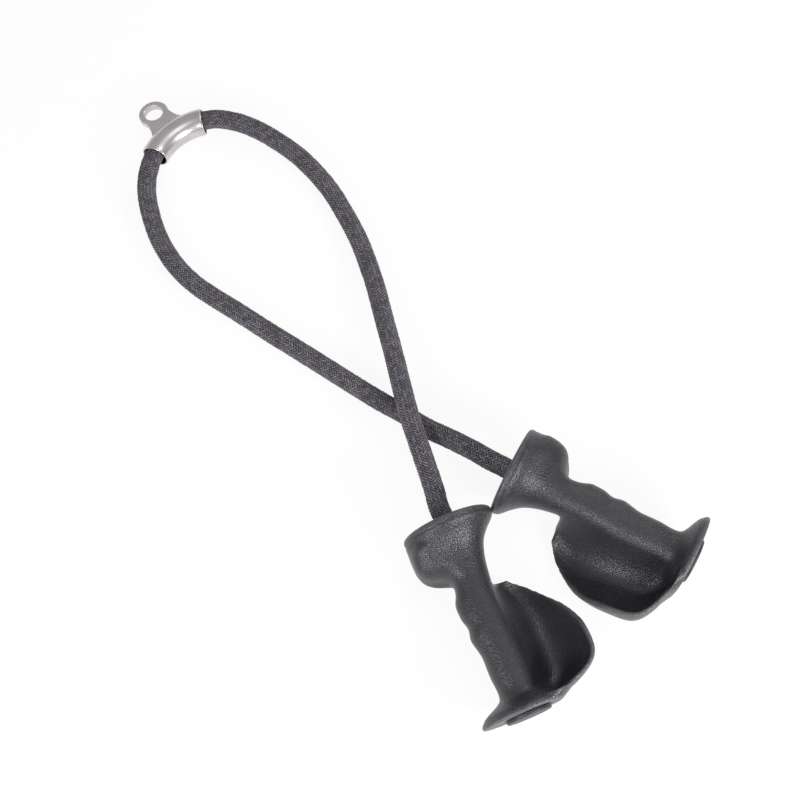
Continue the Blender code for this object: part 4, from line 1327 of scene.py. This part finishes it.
class ROPE_OT_stage(bpy.types.Operator):
    """Set up the camera, the white floor and the soft lamps"""
    bl_idname = "triceps_rope.stage"
    bl_label = "Stage"

    def execute(self, context):
        stage = context.scene.stage_settings
        camera = bpy.data.cameras.new("photo_view")
        camera.lens = stage.lens
        camera.sensor_width = CAMERA_SENSOR
        camera.sensor_fit = "HORIZONTAL"
        camera.clip_start = CAMERA_NEAR
        holder = add_piece("photo_view", camera)
        holder.matrix_world = (Matrix.Translation(CAMERA_PLACE) @ Matrix.Rotation(CAMERA_TURN, 4, "Z")
                               @ Matrix.Rotation(CAMERA_TILT, 4, "X"))
        context.scene.camera = holder

        bm = bmesh.new()
        bmesh.ops.create_grid(bm, x_segments=8, y_segments=8, size=FLOOR_HALF_WIDTH)
        bmesh.ops.translate(bm, verts=bm.verts, vec=(0, 0, -FIT_GAP))
        floor = add_piece("sweep", mesh_from("sweep", bm), floor_material(tuple(stage.floor_colour)))

        world = bpy.data.worlds.new("white_surround")
        context.scene.world = world
        world.use_nodes = True
        tree = world.node_tree
        plain = tree.nodes["Background"]
        set_inputs(tree, plain, {"Color": SURROUND_COLOUR, "Strength": SURROUND_STRENGTH})
        white = result(tree, "ShaderNodeBackground", {"Color": WHITE, "Strength": 1.0})
        light = outputs_of(tree, "ShaderNodeLightPath")
        mix = result(tree, "ShaderNodeMixShader", {
            0: light["Is Camera Ray"], 1: plain.outputs[0], 2: white})
        tree.links.new(mix, tree.nodes["World Output"].inputs["Surface"])

        for name, place, aim, size, share, colour in SOFTBOXES:
            add_lamp(name, place, aim, size, share * stage.lamps, colour)
        context.scene.view_settings.view_transform = "Standard"
        return {"FINISHED"}


class ROPE_PT_panel(bpy.types.Panel):
    """Lists the pieces of the triceps rope attachment"""
    bl_idname = "ROPE_PT_panel"
    bl_label = "Triceps Rope"
    bl_space_type = "VIEW_3D"
    bl_region_type = "UI"
    bl_category = "Triceps Rope"

    def draw(self, context):
        scene = context.scene
        for title, settings, operators in (
                ("Rope", scene.rope_settings, ("knit",)),
                ("Handles", scene.handle_settings, ("handles", "plugs", "fittings")),
                ("Hanger", scene.hanger_settings, ("hanger",)),
                ("Stage", scene.stage_settings, ("stage",))):
            box = self.layout.box()
            box.label(text=title)
            for key in settings.__annotations__:
                box.prop(settings, key)
            for name in operators:
                box.operator("triceps_rope." + name)


CLASSES = (RopeSettings, HandleSettings, HangerSettings, StageSettings, ROPE_OT_knit, ROPE_OT_handles,
           ROPE_OT_plugs, ROPE_OT_fittings, ROPE_OT_hanger, ROPE_OT_stage, ROPE_PT_panel)
SETTINGS = (("rope_settings", RopeSettings), ("handle_settings", HandleSettings),
            ("hanger_settings", HangerSettings), ("stage_settings", StageSettings))


def register():
    for each in CLASSES:
        bpy.utils.register_class(each)
    for name, kind in SETTINGS:
        setattr(bpy.types.Scene, name, PointerProperty(type=kind))


def unregister():
    for name, _ in SETTINGS:
        delattr(bpy.types.Scene, name)
    for each in reversed(CLASSES):
        bpy.utils.unregister_class(each)


def main():
    register()
    bpy.ops.triceps_rope.stage()
    bpy.ops.triceps_rope.knit()
    bpy.ops.triceps_rope.handles()
    bpy.ops.triceps_rope.plugs()
    bpy.ops.triceps_rope.fittings()
    bpy.ops.triceps_rope.hanger()


if __name__ == "__main__":
    main()
